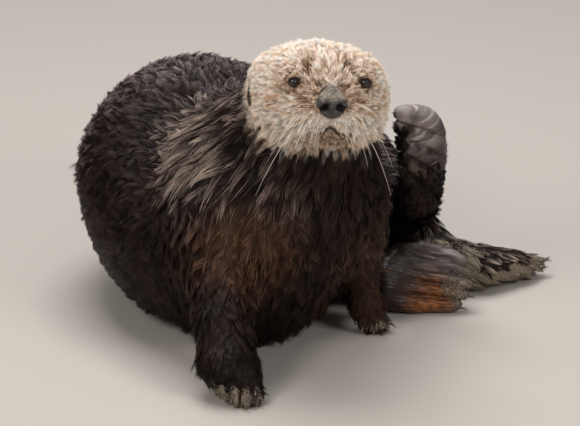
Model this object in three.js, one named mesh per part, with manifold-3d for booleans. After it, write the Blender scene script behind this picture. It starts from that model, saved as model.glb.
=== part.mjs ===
// A life-size sea otter that sits curled round to its left on a beach: both forefeet down, the right hind
// foot on its edge on the ground, the left hind foot lifted beside the neck, and the tail laid out behind.
// Millimetres, +Z up, the ground at z = 0. The solids reach out to the tips of the coat.
//
// The body is one smooth form, worked out from chains of balls that stand for the spine, the neck and the
// limbs. Each sub-part is meshed from that form in its own box, and thin plane cuts part it from the rest.

import * as THREE from "three";
import { mergeVertices } from "three/addons/utils/BufferGeometryUtils.js";
import Module from "manifold-3d";

const wasm = await Module();
wasm.setup();

// ---------------------------------------------------------------- driving dimensions

const GAP = 0.4; // width of the cut between two sub-parts
const FLOOR = 0; // the level that everything stands on
const FAR = 900; // longer than the animal, for the blocks that cut

const TRUNK_CELL = 37; // mesh cell of the trunk and neck
const LIMB_CELL = 20; // mesh cell of the legs and tail
const PAW_CELL = 10.4; // mesh cell of the forepaws
const FOOT_CELL = 9.25; // mesh cell of the hind feet
const HEAD_CELL = 12.8; // mesh cell of the head

// The chains: each row is x, y, z and the radius of a ball. The surface runs smoothly from one to the next.
const SPINE = [
  [-14, 4, 160, 95], // chest
  [-96, 62, 104, 119], // ribs
  [-110, 150, 126, 138], // middle of the back, the widest part
  [-98, 232, 112, 114], // loin
  [-34, 284, 96, 98],
  [30, 262, 88, 86], // rump
  [62, 205, 74, 74],
];
const BELLY = [
  [-24, 10, 120, 86],
  [-50, 2, 58, 68],
  [0, 86, 50, 57],
];
const NECK = [
  [-14, 10, 205, 86],
  [2, -22, 244, 76],
  [14, -50, 280, 64],
];
const TAIL = [
  [66, 192, 62, 58],
  [118, 162, 44, 42],
  [166, 150, 31, 31],
  [206, 158, 25, 25.5],
  [240, 177, 18, 20.5],
  [261, 195, 13, 13],
];
const RIGHT_FORELEG = [
  [-68, -10, 182, 64], // shoulder
  [-82, -58, 138, 48],
  [-82, -98, 98, 40], // elbow
  [-80, -134, 66, 37],
  [-76, -160, 40, 33], // wrist
];
const LEFT_FORELEG = [
  [48, -6, 160, 45],
  [56, 8, 118, 36],
  [60, 16, 84, 29],
  [65, 20, 52, 24],
  [71, 20, 32, 21],
];
const LEFT_HINDLEG = [
  [66, 172, 92, 60], // hip
  [107, 120, 107, 33],
  [120, 86, 112, 27],
  [124, 64, 134, 23], // ankle
];
const RIGHT_HINDLEG = [
  [6, 128, 56, 60], // thigh
  [26, 108, 42, 38], // knee
  [58, 98, 37, 30],
  [84, 88, 34, 27], // ankle
];

// How far the flesh of two chains flows into each other.
const SHOULDER_BLEND = 46;
const HIP_BLEND = 40;
const TAIL_BLEND = 36;
const NECK_BLEND = 44;
const HEAD_BLEND = 20;
const WRIST_BLEND = 8;
const WEB_BLEND = 5; // between the toes of a hind foot
const TOE_BLEND = 6; // between the toes of a forepaw

// ---------------------------------------------------------------- distances to simple forms

// Joins two distances so that the surface flows over a width of about k.
function flow(a, b, k) {
  const h = Math.max(k - Math.abs(a - b), 0) / k;
  return Math.min(a, b) - (h * h * k) / 4;
}

// A chain of balls as many short cones along a smooth curve. spans stops it short.
function chain(rows, { steps = 5, spans = rows.length - 1 } = {}) {
  const path = new THREE.CatmullRomCurve3(rows.map((r) => new THREE.Vector3(r[0], r[1], r[2])));
  const girth = new THREE.CatmullRomCurve3(rows.map((r) => new THREE.Vector3(r[3], 0, 0)));
  const count = (rows.length - 1) * steps;
  const balls = [];
  for (let i = 0; i <= spans * steps; i++) {
    const at = path.getPoint(i / count);
    balls.push([at.x, at.y, at.z, girth.getPoint(i / count).x]);
  }
  const cones = balls.slice(1).map((b, i) => {
    const a = balls[i];
    const along = [b[0] - a[0], b[1] - a[1], b[2] - a[2]];
    const length2 = along[0] ** 2 + along[1] ** 2 + along[2] ** 2;
    return { a, along, length2, grow: b[3] - a[3] };
  });
  return (x, y, z) => {
    let nearest = Infinity;
    for (const { a, along, length2, grow } of cones) {
      const [dx, dy, dz] = [x - a[0], y - a[1], z - a[2]];
      const t = THREE.MathUtils.clamp((dx * along[0] + dy * along[1] + dz * along[2]) / length2, 0, 1);
      const gap = Math.hypot(dx - t * along[0], dy - t * along[1], dz - t * along[2]);
      nearest = Math.min(nearest, gap - a[3] - t * grow);
    }
    return nearest;
  };
}

// About the distance to an ellipsoid with its axes along the frame's own.
function egg(x, y, z, [cx, cy, cz], [rx, ry, rz]) {
  const px = (x - cx) / rx;
  const py = (y - cy) / ry;
  const pz = (z - cz) / rz;
  const size = Math.hypot(px, py, pz);
  return (size * (size - 1)) / Math.max(Math.hypot(px / rx, py / ry, pz / rz), 1e-9);
}

// ---------------------------------------------------------------- the head

const HEAD_AT = new THREE.Vector3(17, -74, 297); // middle of the skull
const HEAD_YAW = THREE.MathUtils.degToRad(10); // turned to the animal's left
const HEAD_PITCH = THREE.MathUtils.degToRad(14); // nose up
const HEAD_ROLL = THREE.MathUtils.degToRad(4); // its left side lower
const headForward = new THREE.Vector3(
  Math.sin(HEAD_YAW) * Math.cos(HEAD_PITCH),
  -Math.cos(HEAD_YAW) * Math.cos(HEAD_PITCH),
  Math.sin(HEAD_PITCH),
);
const headSide = new THREE.Vector3(Math.cos(HEAD_YAW), Math.sin(HEAD_YAW), 0) // to the animal's left
  .applyAxisAngle(headForward, -HEAD_ROLL);
const headUp = new THREE.Vector3().crossVectors(headSide, headForward).negate();
const headFrame = new THREE.Matrix4().makeBasis(headForward, headSide, headUp).setPosition(HEAD_AT);

// Head measures are forward, sideways and up from the middle of the skull.
const EYE = { side: 37, up: 20, radius: 6.2, sunk: 0.5 };
const NOSE = { up: 1, width: 33, height: 34, depth: 20, proud: 3.5 };
const EAR = { forward: 2, side: 70, up: -1, height: 25, width: 20, thickness: 8 };
const LUMPS = [
  // middle, radii and how far it flows into the rest; a lump off the middle line has a twin
  { at: [-10, 0, 4], size: [76, 69, 53], blend: 1 }, // skull with its fur
  { at: [-6, 38, 17], size: [56, 37, 33], blend: 12 }, // temple
  { at: [26, 33, -11], size: [46, 40, 33], blend: 22 }, // cheek
  { at: [36, 26, 15], size: [34, 30, 27], blend: 22 }, // brow
  { at: [57, 0, -8], size: [38, 33, 27], blend: 24 }, // muzzle
  { at: [71, 21, -20], size: [24, 21, 18], blend: 9 }, // whisker pad
  { at: [55, 0, -29], size: [27, 25, 15], blend: 12 }, // chin
];

function head(x, y, z) {
  const dx = x - HEAD_AT.x;
  const dy = y - HEAD_AT.y;
  const dz = z - HEAD_AT.z;
  const a = dx * headForward.x + dy * headForward.y + dz * headForward.z;
  const b = Math.abs(dx * headSide.x + dy * headSide.y + dz * headSide.z);
  const c = dx * headUp.x + dy * headUp.y + dz * headUp.z;
  let d = Infinity;
  for (const { at, size, blend } of LUMPS) d = flow(d, egg(a, b, c, at, size), blend);
  return d;
}

// ---------------------------------------------------------------- the feet

// A hind foot is a fan of five long webbed toes. The outer toe is the longest. The first and the last toe
// are given by the balls at their root, middle and tip, and the others lie evenly between them.
const TOES = 5;
const LEFT_OUTER_TOE = [[142, 58, 199, 14], [132, 36, 234, 14], [105, 12, 248, 12]];
const LEFT_INNER_TOE = [[128, 64, 142, 11], [116, 50, 156, 9], [107, 38, 168, 7.5]];
const RIGHT_OUTER_TOE = [[112, 94, 61, 13], [146, 99, 61, 10.5], [173, 98, 53, 8.5]];
const RIGHT_INNER_TOE = [[108, 76, 11, 11], [142, 77, 9, 9.5], [167, 73, 7.5, 8]];
const TOE_BOW = 10; // how much further the middle toes of the planted foot reach

function mix(a, b, t) {
  return a.map((value, i) => value + t * (b[i] - value));
}

function toesBetween(outer, inner, bow) {
  return Array.from({ length: TOES }, (_, i) => {
    const t = i / (TOES - 1);
    const reach = bow * 4 * t * (1 - t);
    return outer.map((ball, k) => mix(ball, inner[k], t).map((v, axis) => (axis === 0 ? v + reach : v)));
  });
}

function fan(ankle, toes) {
  const rays = toes.map((toe) => chain([ankle, ...toe], { steps: 4 }));
  return (x, y, z) => rays.reduce((d, ray) => flow(d, ray(x, y, z), WEB_BLEND), Infinity);
}

// A forepaw is a short round mitt with five stubby toes round its front edge.
const PAW_TOES = 5;
function pawOf({ wrist, palm, heading, spread, radius, toe }) {
  const mitt = chain([wrist, palm], { steps: 3 });
  const tips = [];
  for (let i = 0; i < PAW_TOES; i++) {
    const turn = heading + spread * (i / (PAW_TOES - 1) - 0.5);
    const reach = radius * (1 - 0.16 * Math.abs(i - (PAW_TOES - 1) / 2));
    tips.push([palm[0] + reach * Math.cos(turn), palm[1] + reach * Math.sin(turn), toe * 0.95, toe]);
  }
  const toes = tips.map((tip) => chain([[palm[0], palm[1], palm[2], toe], tip], { steps: 1 }));
  return {
    tips,
    palm,
    field: (x, y, z) => toes.reduce((d, t) => flow(d, t(x, y, z), TOE_BLEND), mitt(x, y, z)),
  };
}
const rightPaw = pawOf({
  wrist: RIGHT_FORELEG.at(-1),
  palm: [-59, -178, 17, 22],
  heading: THREE.MathUtils.degToRad(-82),
  spread: THREE.MathUtils.degToRad(150),
  radius: 22,
  toe: 9,
});
const leftPaw = pawOf({
  wrist: LEFT_FORELEG.at(-1),
  palm: [76, 24, 15, 18],
  heading: THREE.MathUtils.degToRad(-50),
  spread: THREE.MathUtils.degToRad(140),
  radius: 19,
  toe: 8,
});
const leftToes = toesBetween(LEFT_OUTER_TOE, LEFT_INNER_TOE, 0);
const rightToes = toesBetween(RIGHT_OUTER_TOE, RIGHT_INNER_TOE, TOE_BOW);

// ---------------------------------------------------------------- the whole body

const spine = chain(SPINE, { steps: 6 });
const belly = chain(BELLY);
const neck = chain(NECK);

// The trunk with the neck, which everything else grows from.
function torso(x, y, z) {
  return flow(spine(x, y, z), neck(x, y, z), NECK_BLEND);
}

// The limbs. stump is how many spans of the chain belong to the trunk's own mesh, and box is where the
// limb is meshed. Each piece begins at a plane cut: a point on it and the way its outer side faces.
const LIMBS = [
  {
    rows: RIGHT_FORELEG,
    foot: rightPaw.field,
    blend: SHOULDER_BLEND,
    stump: 3,
    box: [[-190, -240, -30], [20, 60, 240]],
    pieces: [
      { name: "right_upper_foreleg", cell: LIMB_CELL, at: [-80, -42, 148], out: [-0.25, -0.75, -0.6] },
      { name: "right_forearm", cell: LIMB_CELL, at: [-80, -98, 98], out: [0, -0.72, -0.69] },
      { name: "right_forepaw", cell: PAW_CELL, at: [-70, -156, 40], out: [0.1, -0.62, -0.78] },
    ],
  },
  {
    rows: LEFT_FORELEG,
    foot: leftPaw.field,
    blend: SHOULDER_BLEND,
    stump: 3,
    box: [[-20, -80, -30], [140, 110, 190]],
    pieces: [
      { name: "left_upper_foreleg", cell: LIMB_CELL, at: [61, 8, 112], out: [0.1, 0.1, -1] },
      { name: "left_forearm", cell: LIMB_CELL, at: [62, 19, 76], out: [0.1, 0, -1] },
      { name: "left_forepaw", cell: PAW_CELL, at: [70, 22, 36], out: [0.2, -0.2, -0.95] },
    ],
  },
  {
    rows: LEFT_HINDLEG,
    foot: fan(LEFT_HINDLEG.at(-1), leftToes),
    blend: HIP_BLEND,
    stump: 2,
    box: [[20, -20, 10], [190, 240, 280]],
    pieces: [
      { name: "left_shank", cell: LIMB_CELL, at: [98, 132, 100], out: [0.55, -0.84, 0.1] },
      { name: "left_hind_foot", cell: FOOT_CELL, at: [124, 67, 130], out: [0.1, -0.5, 0.87] },
    ],
  },
  {
    rows: RIGHT_HINDLEG,
    foot: fan(RIGHT_HINDLEG.at(-1), rightToes),
    blend: HIP_BLEND,
    stump: 2,
    box: [[-40, 0, -40], [215, 200, 150]],
    pieces: [
      { name: "right_shank", cell: LIMB_CELL, at: [40, 96, 42], out: [1, -0.2, 0] },
      { name: "right_hind_foot", cell: FOOT_CELL, at: [84, 88, 34], out: [1, 0, 0] },
    ],
  },
  {
    rows: TAIL,
    foot: null,
    blend: TAIL_BLEND,
    stump: 2,
    box: [[20, 60, -40], [300, 280, 150]],
    pieces: [
      { name: "tail_base", cell: LIMB_CELL, at: [132, 158, 42], out: [1, -0.15, -0.2] },
      { name: "tail_tip", cell: LIMB_CELL, at: [188, 153, 27], out: [0.95, 0.3, -0.1] },
    ],
  },
];
const SLEEVE = 12; // how far round a limb its own piece reaches where it leaves the trunk

// The trunk's own pieces begin at these planes, from front to back.
const TRUNK_CUTS = {
  ribs: { at: [-46, 44, 0], out: [-0.55, 0.83, 0] },
  loin: { at: [0, 190, 0], out: [0, 1, 0] },
  rump: { at: [-24, 0, 0], out: [1, 0, 0] },
};
const NECK_CUT = { at: [-10, 5, 216], out: [0.15, -0.3, 0.94] };
const HEAD_CUT = { at: [20, 0, -60], out: [0.5, 0, 0.87] }; // in the head: forward, sideways and up

// ---------------------------------------------------------------- meshing

// A cell has eight corners, numbered by their bits (1 is +x, 2 is +y, 4 is +z), and twelve edges, each given
// by its lower corner and its axis.
const BITS = [1, 2, 4];
const EDGES = [];
const edgeAt = Array.from({ length: 8 }, () => []);
for (let corner = 0; corner < 8; corner++)
  for (let axis = 0; axis < 3; axis++)
    if (!(corner & BITS[axis])) {
      edgeAt[corner][axis] = EDGES.length;
      EDGES.push({ low: corner, high: corner | BITS[axis], axis });
    }
const FACES = [];
for (const bit of BITS)
  for (const side of [0, bit]) {
    const borders = ({ low, high }) => (low & bit) === side && (high & bit) === side;
    FACES.push(EDGES.flatMap((edge, e) => (borders(edge) ? [e] : [])));
  }

// Sorts the edges that the surface crosses in a cell into patches, so two sheets in one cell stay apart.
function patchesOf(values) {
  const crossed = EDGES.map(({ low, high }) => values[low] < 0 !== values[high] < 0);
  const patch = EDGES.map((_, e) => e);
  const join = (a, b) => {
    const [from, to] = [patch[a], patch[b]];
    patch.forEach((p, e) => (patch[e] = p === from ? to : p));
  };
  for (const face of FACES) {
    const cut = face.filter((e) => crossed[e]);
    if (cut.length === 2) join(cut[0], cut[1]);
    if (cut.length < 4) continue;
    const inner = (e) => (values[EDGES[e].low] < 0 ? EDGES[e].low : EDGES[e].high);
    for (const e of cut) for (const f of cut) if (inner(e) === inner(f)) join(e, f);
  }
  return patch.map((p, e) => (crossed[e] ? p : -1));
}

// Meshes the surface of a field inside a box, with one vertex for each patch of surface in a cell and one
// pair of triangles round each grid edge that the surface crosses. inset then draws the surface inwards.
function meshed(field, [low, high], cell, inset = 0) {
  const [nx, ny, nz] = [0, 1, 2].map((k) => Math.ceil((high[k] - low[k]) / cell) + 1);
  const steps = [1, nx, nx * ny];
  const index = (i, j, k) => i + nx * j + nx * ny * k;
  const place = (i, j, k) => [low[0] + i * cell, low[1] + j * cell, low[2] + k * cell];
  const values = new Float32Array(nx * ny * nz).fill(cell);
  for (let k = 1; k < nz - 1; k++)
    for (let j = 1; j < ny - 1; j++)
      for (let i = 1; i < nx - 1; i++) values[index(i, j, k)] = field(...place(i, j, k));

  const vertexOf = new Map(); // twelve times the cell's index plus the edge -> vertex
  const positions = [];
  for (let k = 0; k < nz - 1; k++)
    for (let j = 0; j < ny - 1; j++)
      for (let i = 0; i < nx - 1; i++) {
        const here = index(i, j, k);
        const corners = [0, 1, 2, 3, 4, 5, 6, 7].map(
          (c) => values[here + (c & 1) * steps[0] + ((c >> 1) & 1) * steps[1] + ((c >> 2) & 1) * steps[2]],
        );
        const inside = corners.filter((v) => v < 0).length;
        if (inside === 0 || inside === 8) continue;
        const patch = patchesOf(corners);
        for (const one of new Set(patch.filter((p) => p >= 0))) {
          const edges = EDGES.map((_, e) => e).filter((e) => patch[e] === one);
          const vertex = new THREE.Vector3();
          for (const e of edges) {
            const { low: p, high: q, axis } = EDGES[e];
            const at = new THREE.Vector3(p & 1, (p >> 1) & 1, (p >> 2) & 1);
            at.setComponent(axis, corners[p] / (corners[p] - corners[q]));
            vertex.addScaledVector(at, cell / edges.length);
            vertexOf.set(12 * here + e, positions.length / 3);
          }
          positions.push(...vertex.add(new THREE.Vector3(...place(i, j, k))).toArray());
        }
      }
  settle(field, positions, cell, inset);

  const faces = [];
  for (let k = 0; k < nz - 1; k++)
    for (let j = 0; j < ny - 1; j++)
      for (let i = 0; i < nx - 1; i++)
        for (let axis = 0; axis < 3; axis++) {
          const here = index(i, j, k);
          const inside = values[here] < 0;
          if (inside === values[here + steps[axis]] < 0) continue;
          const [u, w] = [(axis + 1) % 3, (axis + 2) % 3];
          const corners = [0, BITS[u], BITS[u] | BITS[w], BITS[w]];
          const cells = [here, here - steps[u], here - steps[u] - steps[w], here - steps[w]];
          const ring = cells.map((c, n) => vertexOf.get(12 * c + edgeAt[corners[n]][axis]));
          if (!inside) ring.reverse();
          faces.push(ring[0], ring[1], ring[2], ring[0], ring[2], ring[3]);
        }
  const vertProperties = new Float32Array(positions);
  return new wasm.Manifold(new wasm.Mesh({ numProp: 3, vertProperties, triVerts: new Uint32Array(faces) }));
}

// Moves the vertices onto the true surface, at most half a cell, and then inwards by the inset.
function settle(field, positions, cell, inset) {
  const e = 0.5;
  for (let i = 0; i < positions.length; i += 3) {
    const [x, y, z] = positions.slice(i, i + 3);
    const slope = new THREE.Vector3(
      field(x + e, y, z) - field(x - e, y, z),
      field(x, y + e, z) - field(x, y - e, z),
      field(x, y, z + e) - field(x, y, z - e),
    ).divideScalar(2 * e);
    const steep = Math.max(slope.length(), 0.3);
    const move = THREE.MathUtils.clamp(-field(x, y, z) / steep, -cell / 2, cell / 2) - inset;
    positions[i] += (move * slope.x) / steep;
    positions[i + 1] += (move * slope.y) / steep;
    positions[i + 2] += (move * slope.z) / steep;
  }
}

// A closed three.js geometry as a manifold solid.
function solidOf(geometry) {
  const bare = geometry.index ? geometry.toNonIndexed() : geometry.clone();
  bare.deleteAttribute("normal");
  bare.deleteAttribute("uv");
  const merged = mergeVertices(bare, 1e-4);
  return new wasm.Manifold(
    new wasm.Mesh({
      numProp: 3,
      vertProperties: merged.attributes.position.array,
      triVerts: new Uint32Array(merged.index.array),
    }),
  );
}

// Everything on the side of a plane that out faces. grow moves the plane back against out.
function beyond({ at, out }, grow = 0) {
  const block = new THREE.BoxGeometry(2 * FAR, 2 * FAR, FAR).translate(0, 0, FAR / 2 - grow);
  const direction = new THREE.Vector3(...out).normalize();
  block.applyQuaternion(new THREE.Quaternion().setFromUnitVectors(new THREE.Vector3(0, 0, 1), direction));
  return solidOf(block.translate(...at));
}

const ground = beyond({ at: [0, 0, FLOOR], out: [0, 0, -1] });

// ---------------------------------------------------------------- the sub-parts

const parts = new Map(); // name -> { solid, colour, roughness }

const COAT = { colour: "#2b211c", roughness: 0.85 };
const WET_LEG = { colour: "#33261f", roughness: 0.8 };
const FACE = { colour: "#b39a7e", roughness: 0.95 };
const SOLE = { colour: "#4d4140", roughness: 0.6 };
const SKIN = { colour: "#33302f", roughness: 0.5 };
const HORN = { colour: "#8d8270", roughness: 0.45 };
const EYE_LOOK = { colour: "#0b0908", roughness: 0.08 };

// The largest of the closed bodies in a solid, so that a stray shaving of a cut is left behind.
function main(solid) {
  return solid.decompose().reduce((best, one) => (one.volume() > best.volume() ? one : best));
}

function keep(name, solid, look) {
  parts.set(name, { solid: main(solid), ...look });
}

// The space round a limb, beyond its first cut, that belongs to the limb and not to the trunk.
function sleeve({ rows, box, pieces }, inset) {
  const limb = chain(rows);
  const space = meshed((x, y, z) => limb(x, y, z) - SLEEVE, box, TRUNK_CELL, inset);
  return space.intersect(beyond(pieces[0], GAP / 2 - inset));
}

// The trunk and neck with the belly and the stump of every limb.
const stumps = LIMBS.map(({ rows, stump, blend }) => ({ field: chain(rows, { spans: stump }), blend }));
function trunkAndStumps(x, y, z) {
  const base = torso(x, y, z);
  const full = flow(base, belly(x, y, z), NECK_BLEND);
  return stumps.reduce((d, stump) => Math.min(d, flow(base, stump.field(x, y, z), stump.blend)), full);
}

// A limb from its root to its tip. Only its first piece flows into the trunk.
function makeLimb(limb) {
  const { rows, foot, blend, box, pieces } = limb;
  const bones = chain(rows);
  const leg = (x, y, z) => (foot ? flow(bones(x, y, z), foot(x, y, z), WRIST_BLEND) : bones(x, y, z));
  const root = (x, y, z) => flow(torso(x, y, z), leg(x, y, z), blend);
  pieces.forEach(({ name, cell, at, out }, i) => {
    let solid = meshed(i ? leg : root, box, cell).subtract(ground);
    solid = i ? solid.intersect(beyond({ at, out }, -GAP / 2)) : solid.intersect(sleeve(limb, GAP));
    if (pieces[i + 1]) solid = solid.subtract(beyond(pieces[i + 1], GAP / 2));
    keep(name, solid, name.includes("hind_foot") ? SOLE : name.includes("tail") ? COAT : WET_LEG);
  });
}

function makeTrunk() {
  let trunk = meshed(trunkAndStumps, [[-280, -160, -50], [230, 440, 390]], TRUNK_CELL).subtract(ground);
  for (const limb of LIMBS) trunk = trunk.subtract(sleeve(limb, 0));
  trunk = trunk.subtract(beyond(NECK_CUT, GAP / 2));
  const { ribs, loin, rump } = TRUNK_CUTS;
  keep("chest", trunk.subtract(beyond(ribs, GAP / 2)), COAT);
  const rest = trunk.intersect(beyond(ribs, -GAP / 2));
  keep("rump", rest.intersect(beyond(rump, -GAP / 2)), COAT);
  const middle = rest.subtract(beyond(rump, GAP / 2));
  keep("ribs", middle.subtract(beyond(loin, GAP / 2)), COAT);
  keep("loin", middle.intersect(beyond(loin, -GAP / 2)), COAT);
}

// A place given as forward, sideways and up in the head.
function inHead(forward, side, up) {
  return new THREE.Vector3(forward, side, up).applyMatrix4(headFrame);
}

// Where the surface of the head is, straight ahead of a place given as sideways and up.
function onFace(side, up) {
  let forward = 0;
  while (head(...inHead(forward, side, up).toArray()) < 0) forward += 0.5;
  return forward;
}

function makeHeadAndNeck() {
  const upper = (x, y, z) => flow(trunkAndStumps(x, y, z), head(x, y, z), HEAD_BLEND);
  const headCut = {
    at: inHead(...HEAD_CUT.at).toArray(),
    out: inHead(...HEAD_CUT.out).sub(HEAD_AT).toArray(),
  };
  const neckSolid = meshed(upper, [[-160, -190, 90], [170, 170, 400]], TRUNK_CELL);
  const neckPiece = neckSolid.intersect(beyond(NECK_CUT, -GAP / 2)).subtract(beyond(headCut, GAP / 2));
  keep("neck", LIMBS.reduce((solid, limb) => solid.subtract(sleeve(limb, 0)), neckPiece), COAT);

  let skull = meshed(upper, [[-90, -200, 200], [130, 60, 385]], HEAD_CELL);
  skull = skull.intersect(beyond(headCut, -GAP / 2));
  for (const side of [1, -1]) {
    const forward = onFace(EYE.side, EYE.up) - EYE.radius * EYE.sunk;
    const at = inHead(forward, side * EYE.side, EYE.up);
    const ball = (radius) => solidOf(new THREE.IcosahedronGeometry(radius, 1).translate(at.x, at.y, at.z));
    keep(side > 0 ? "eye_left" : "eye_right", ball(EYE.radius), EYE_LOOK);
    skull = skull.subtract(ball(EYE.radius + GAP));
  }
  keep("nose_pad", noseSolid(0), SKIN);
  skull = skull.subtract(noseSolid(GAP));
  for (const side of [1, -1]) {
    keep(side > 0 ? "ear_left" : "ear_right", earSolid(side, 0), WET_LEG);
    skull = skull.subtract(earSolid(side, GAP));
  }
  keep("head", skull, FACE);
}

// The bare nose pad: a rounded shield, wide at the top and drawn to a point below.
function noseSolid(grow) {
  const shape = new THREE.Shape();
  const [w, h] = [NOSE.width / 2 + grow, NOSE.height / 2 + grow];
  shape.moveTo(0, -h);
  shape.quadraticCurveTo(w * 0.3, -h * 0.9, w * 0.6, -h * 0.6);
  shape.quadraticCurveTo(w * 1.15, -h * 0.2, w * 0.85, h * 0.2);
  shape.quadraticCurveTo(w * 0.6, h, 0, h);
  shape.quadraticCurveTo(-w * 0.6, h, -w * 0.85, h * 0.2);
  shape.quadraticCurveTo(-w * 1.15, -h * 0.2, -w * 0.6, -h * 0.6);
  shape.quadraticCurveTo(-w * 0.3, -h * 0.9, 0, -h);
  const pad = new THREE.ExtrudeGeometry(shape, {
    depth: NOSE.depth - 10 + 2 * grow,
    bevelThickness: 5,
    bevelSize: 4,
    bevelOffset: -4,
    bevelSegments: 2,
    curveSegments: 2,
  });
  // The shape's x is the head's side, its y the head's up and its depth the head's forward.
  const turn = new THREE.Matrix4().makeBasis(headSide, headUp, headForward);
  pad.translate(0, 0, 5 - NOSE.depth - grow).applyMatrix4(turn);
  const at = inHead(onFace(0, NOSE.up) + NOSE.proud, 0, NOSE.up);
  return solidOf(pad.translate(at.x, at.y, at.z));
}

// A small rolled ear: a leaf with its hollow towards the front, low on the side of the head.
function earSolid(side, grow) {
  const leaf = new THREE.SphereGeometry(1, 9, 5);
  leaf.scale(EAR.width / 2 + grow, EAR.thickness / 2 + grow, EAR.height / 2 + grow);
  const at = inHead(EAR.forward, side * EAR.side, EAR.up);
  const turn = new THREE.Matrix4().makeBasis(headForward, headSide, headUp);
  leaf.rotateZ(side * -0.9).rotateY(0.35).applyMatrix4(turn);
  return solidOf(leaf.translate(at.x, at.y, at.z));
}

// A curved claw with its root sunk in the tip of a toe. heading is the way that the toe points.
function clawSolid(tip, heading, length, grow) {
  const radius = length / 5;
  const profile = [
    [0, -grow],
    [radius + grow, -grow],
    [radius * 0.75 + grow, length * 0.6],
    [0, length + grow],
  ].map(([r, z]) => new THREE.Vector2(r, z));
  const claw = new THREE.LatheGeometry(profile, 5);
  const way = new THREE.Vector3(...heading).normalize();
  claw.applyQuaternion(new THREE.Quaternion().setFromUnitVectors(new THREE.Vector3(0, 1, 0), way));
  return solidOf(claw.translate(...tip));
}

const CLAWS = {
  right_fore: { foot: "right_forepaw", length: 8 },
  left_fore: { foot: "left_forepaw", length: 8 },
  right_hind: { foot: "right_hind_foot", length: 9 },
  left_hind: { foot: "left_hind_foot", length: 9 },
};

function addClaws(name, tips) {
  const { foot, length } = CLAWS[name];
  const part = parts.get(foot);
  tips.forEach(({ at, heading }, i) => {
    keep(`${name}_claw_${i + 1}`, clawSolid(at, heading, length, 0).subtract(ground), HORN);
    part.solid = main(part.solid.subtract(clawSolid(at, heading, length, GAP)));
  });
}

// Where the claws of a forepaw sit: on the upper front of each toe, bent down.
function pawClaws({ tips, palm }) {
  return tips.map(([x, y, z, r]) => {
    const way = new THREE.Vector3(x - palm[0], y - palm[1], 0).normalize();
    return { at: [x + way.x * r * 0.55, y + way.y * r * 0.55, z + r * 0.3], heading: [way.x, way.y, -0.5] };
  });
}

// Where the claws of a hind foot sit: at the end of each toe, along it.
function fanClaws(toes) {
  return toes.map((toe) => {
    const [middle, tip] = toe.slice(-2).map(([x, y, z]) => new THREE.Vector3(x, y, z));
    const way = tip.clone().sub(middle).normalize();
    return { at: tip.addScaledVector(way, toe.at(-1)[3] * 0.4).toArray(), heading: way.toArray() };
  });
}

makeTrunk();
makeHeadAndNeck();
LIMBS.forEach(makeLimb);
addClaws("right_fore", pawClaws(rightPaw));
addClaws("left_fore", pawClaws(leftPaw));
addClaws("right_hind", fanClaws(rightToes));
addClaws("left_hind", fanClaws(leftToes));

// ---------------------------------------------------------------- the model

// Each part as a named mesh, all moved so that the middle of the model's base is the origin.
function meshOf(name, { solid, colour, roughness }) {
  const { vertProperties, triVerts } = solid.getMesh();
  const geometry = new THREE.BufferGeometry();
  geometry.setAttribute("position", new THREE.BufferAttribute(new Float32Array(vertProperties), 3));
  geometry.setIndex(new THREE.BufferAttribute(new Uint32Array(triVerts), 1));
  geometry.computeVertexNormals();
  const material = new THREE.MeshStandardMaterial({ color: colour, roughness, metalness: 0 });
  const mesh = new THREE.Mesh(geometry, material);
  mesh.name = name;
  return mesh;
}

const group = new THREE.Group();
group.name = "sea_otter";
for (const [name, part] of parts) group.add(meshOf(name, part));
const bounds = new THREE.Box3().setFromObject(group);
const middle = bounds.getCenter(new THREE.Vector3());
for (const mesh of group.children) mesh.geometry.translate(-middle.x, -middle.y, -bounds.min.z);

export default group;
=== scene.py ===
# %% [markdown]
# # A sea otter, sitting
# The animal is a sea otter at life size, as a museum would mount it: it sits with its trunk curled to its
# left, one hind foot lifted beside the neck and the tail laid out behind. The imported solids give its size
# and outline, out to the tips of the wet coat. This script puts a skin, a coat, a face and feet on them.
# Everything is in metres, with the floor at zero height and the animal looking along the minus y axis.

# %% Load the frame
import math

import bmesh
import bpy
import numpy as np
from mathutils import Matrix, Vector
from mathutils.bvhtree import BVHTree
from mathutils.kdtree import KDTree


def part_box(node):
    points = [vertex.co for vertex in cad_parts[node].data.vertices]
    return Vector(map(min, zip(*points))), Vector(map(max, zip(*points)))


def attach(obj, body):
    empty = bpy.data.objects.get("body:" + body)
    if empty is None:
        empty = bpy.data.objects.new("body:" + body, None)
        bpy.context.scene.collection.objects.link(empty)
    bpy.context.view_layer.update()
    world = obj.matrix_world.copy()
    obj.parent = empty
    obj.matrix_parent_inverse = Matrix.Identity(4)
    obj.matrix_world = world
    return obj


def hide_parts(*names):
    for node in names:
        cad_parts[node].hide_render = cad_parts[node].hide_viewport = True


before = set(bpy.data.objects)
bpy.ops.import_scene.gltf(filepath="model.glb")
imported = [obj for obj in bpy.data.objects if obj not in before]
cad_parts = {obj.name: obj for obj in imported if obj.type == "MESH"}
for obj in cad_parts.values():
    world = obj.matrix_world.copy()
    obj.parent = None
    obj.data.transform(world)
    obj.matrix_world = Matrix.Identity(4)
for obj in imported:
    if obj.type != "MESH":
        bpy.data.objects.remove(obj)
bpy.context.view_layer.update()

MM = 0.001


# %% [markdown]
# ## Places on the animal
# Every place comes from the box of a named solid, so the looks follow the solids if they change. Arrays of
# points with three columns are used all through, because thousands of places are worked out at once.

# %% Places on the animal
def middle(node):
    """The middle of a solid's box."""
    low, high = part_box(node)
    return (np.array(low) + np.array(high)) / 2


def unit(vectors):
    """Vectors scaled to a length of one, row by row."""
    size = np.linalg.norm(vectors, axis=-1, keepdims=True)
    return vectors / np.maximum(size, 1e-9)


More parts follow.
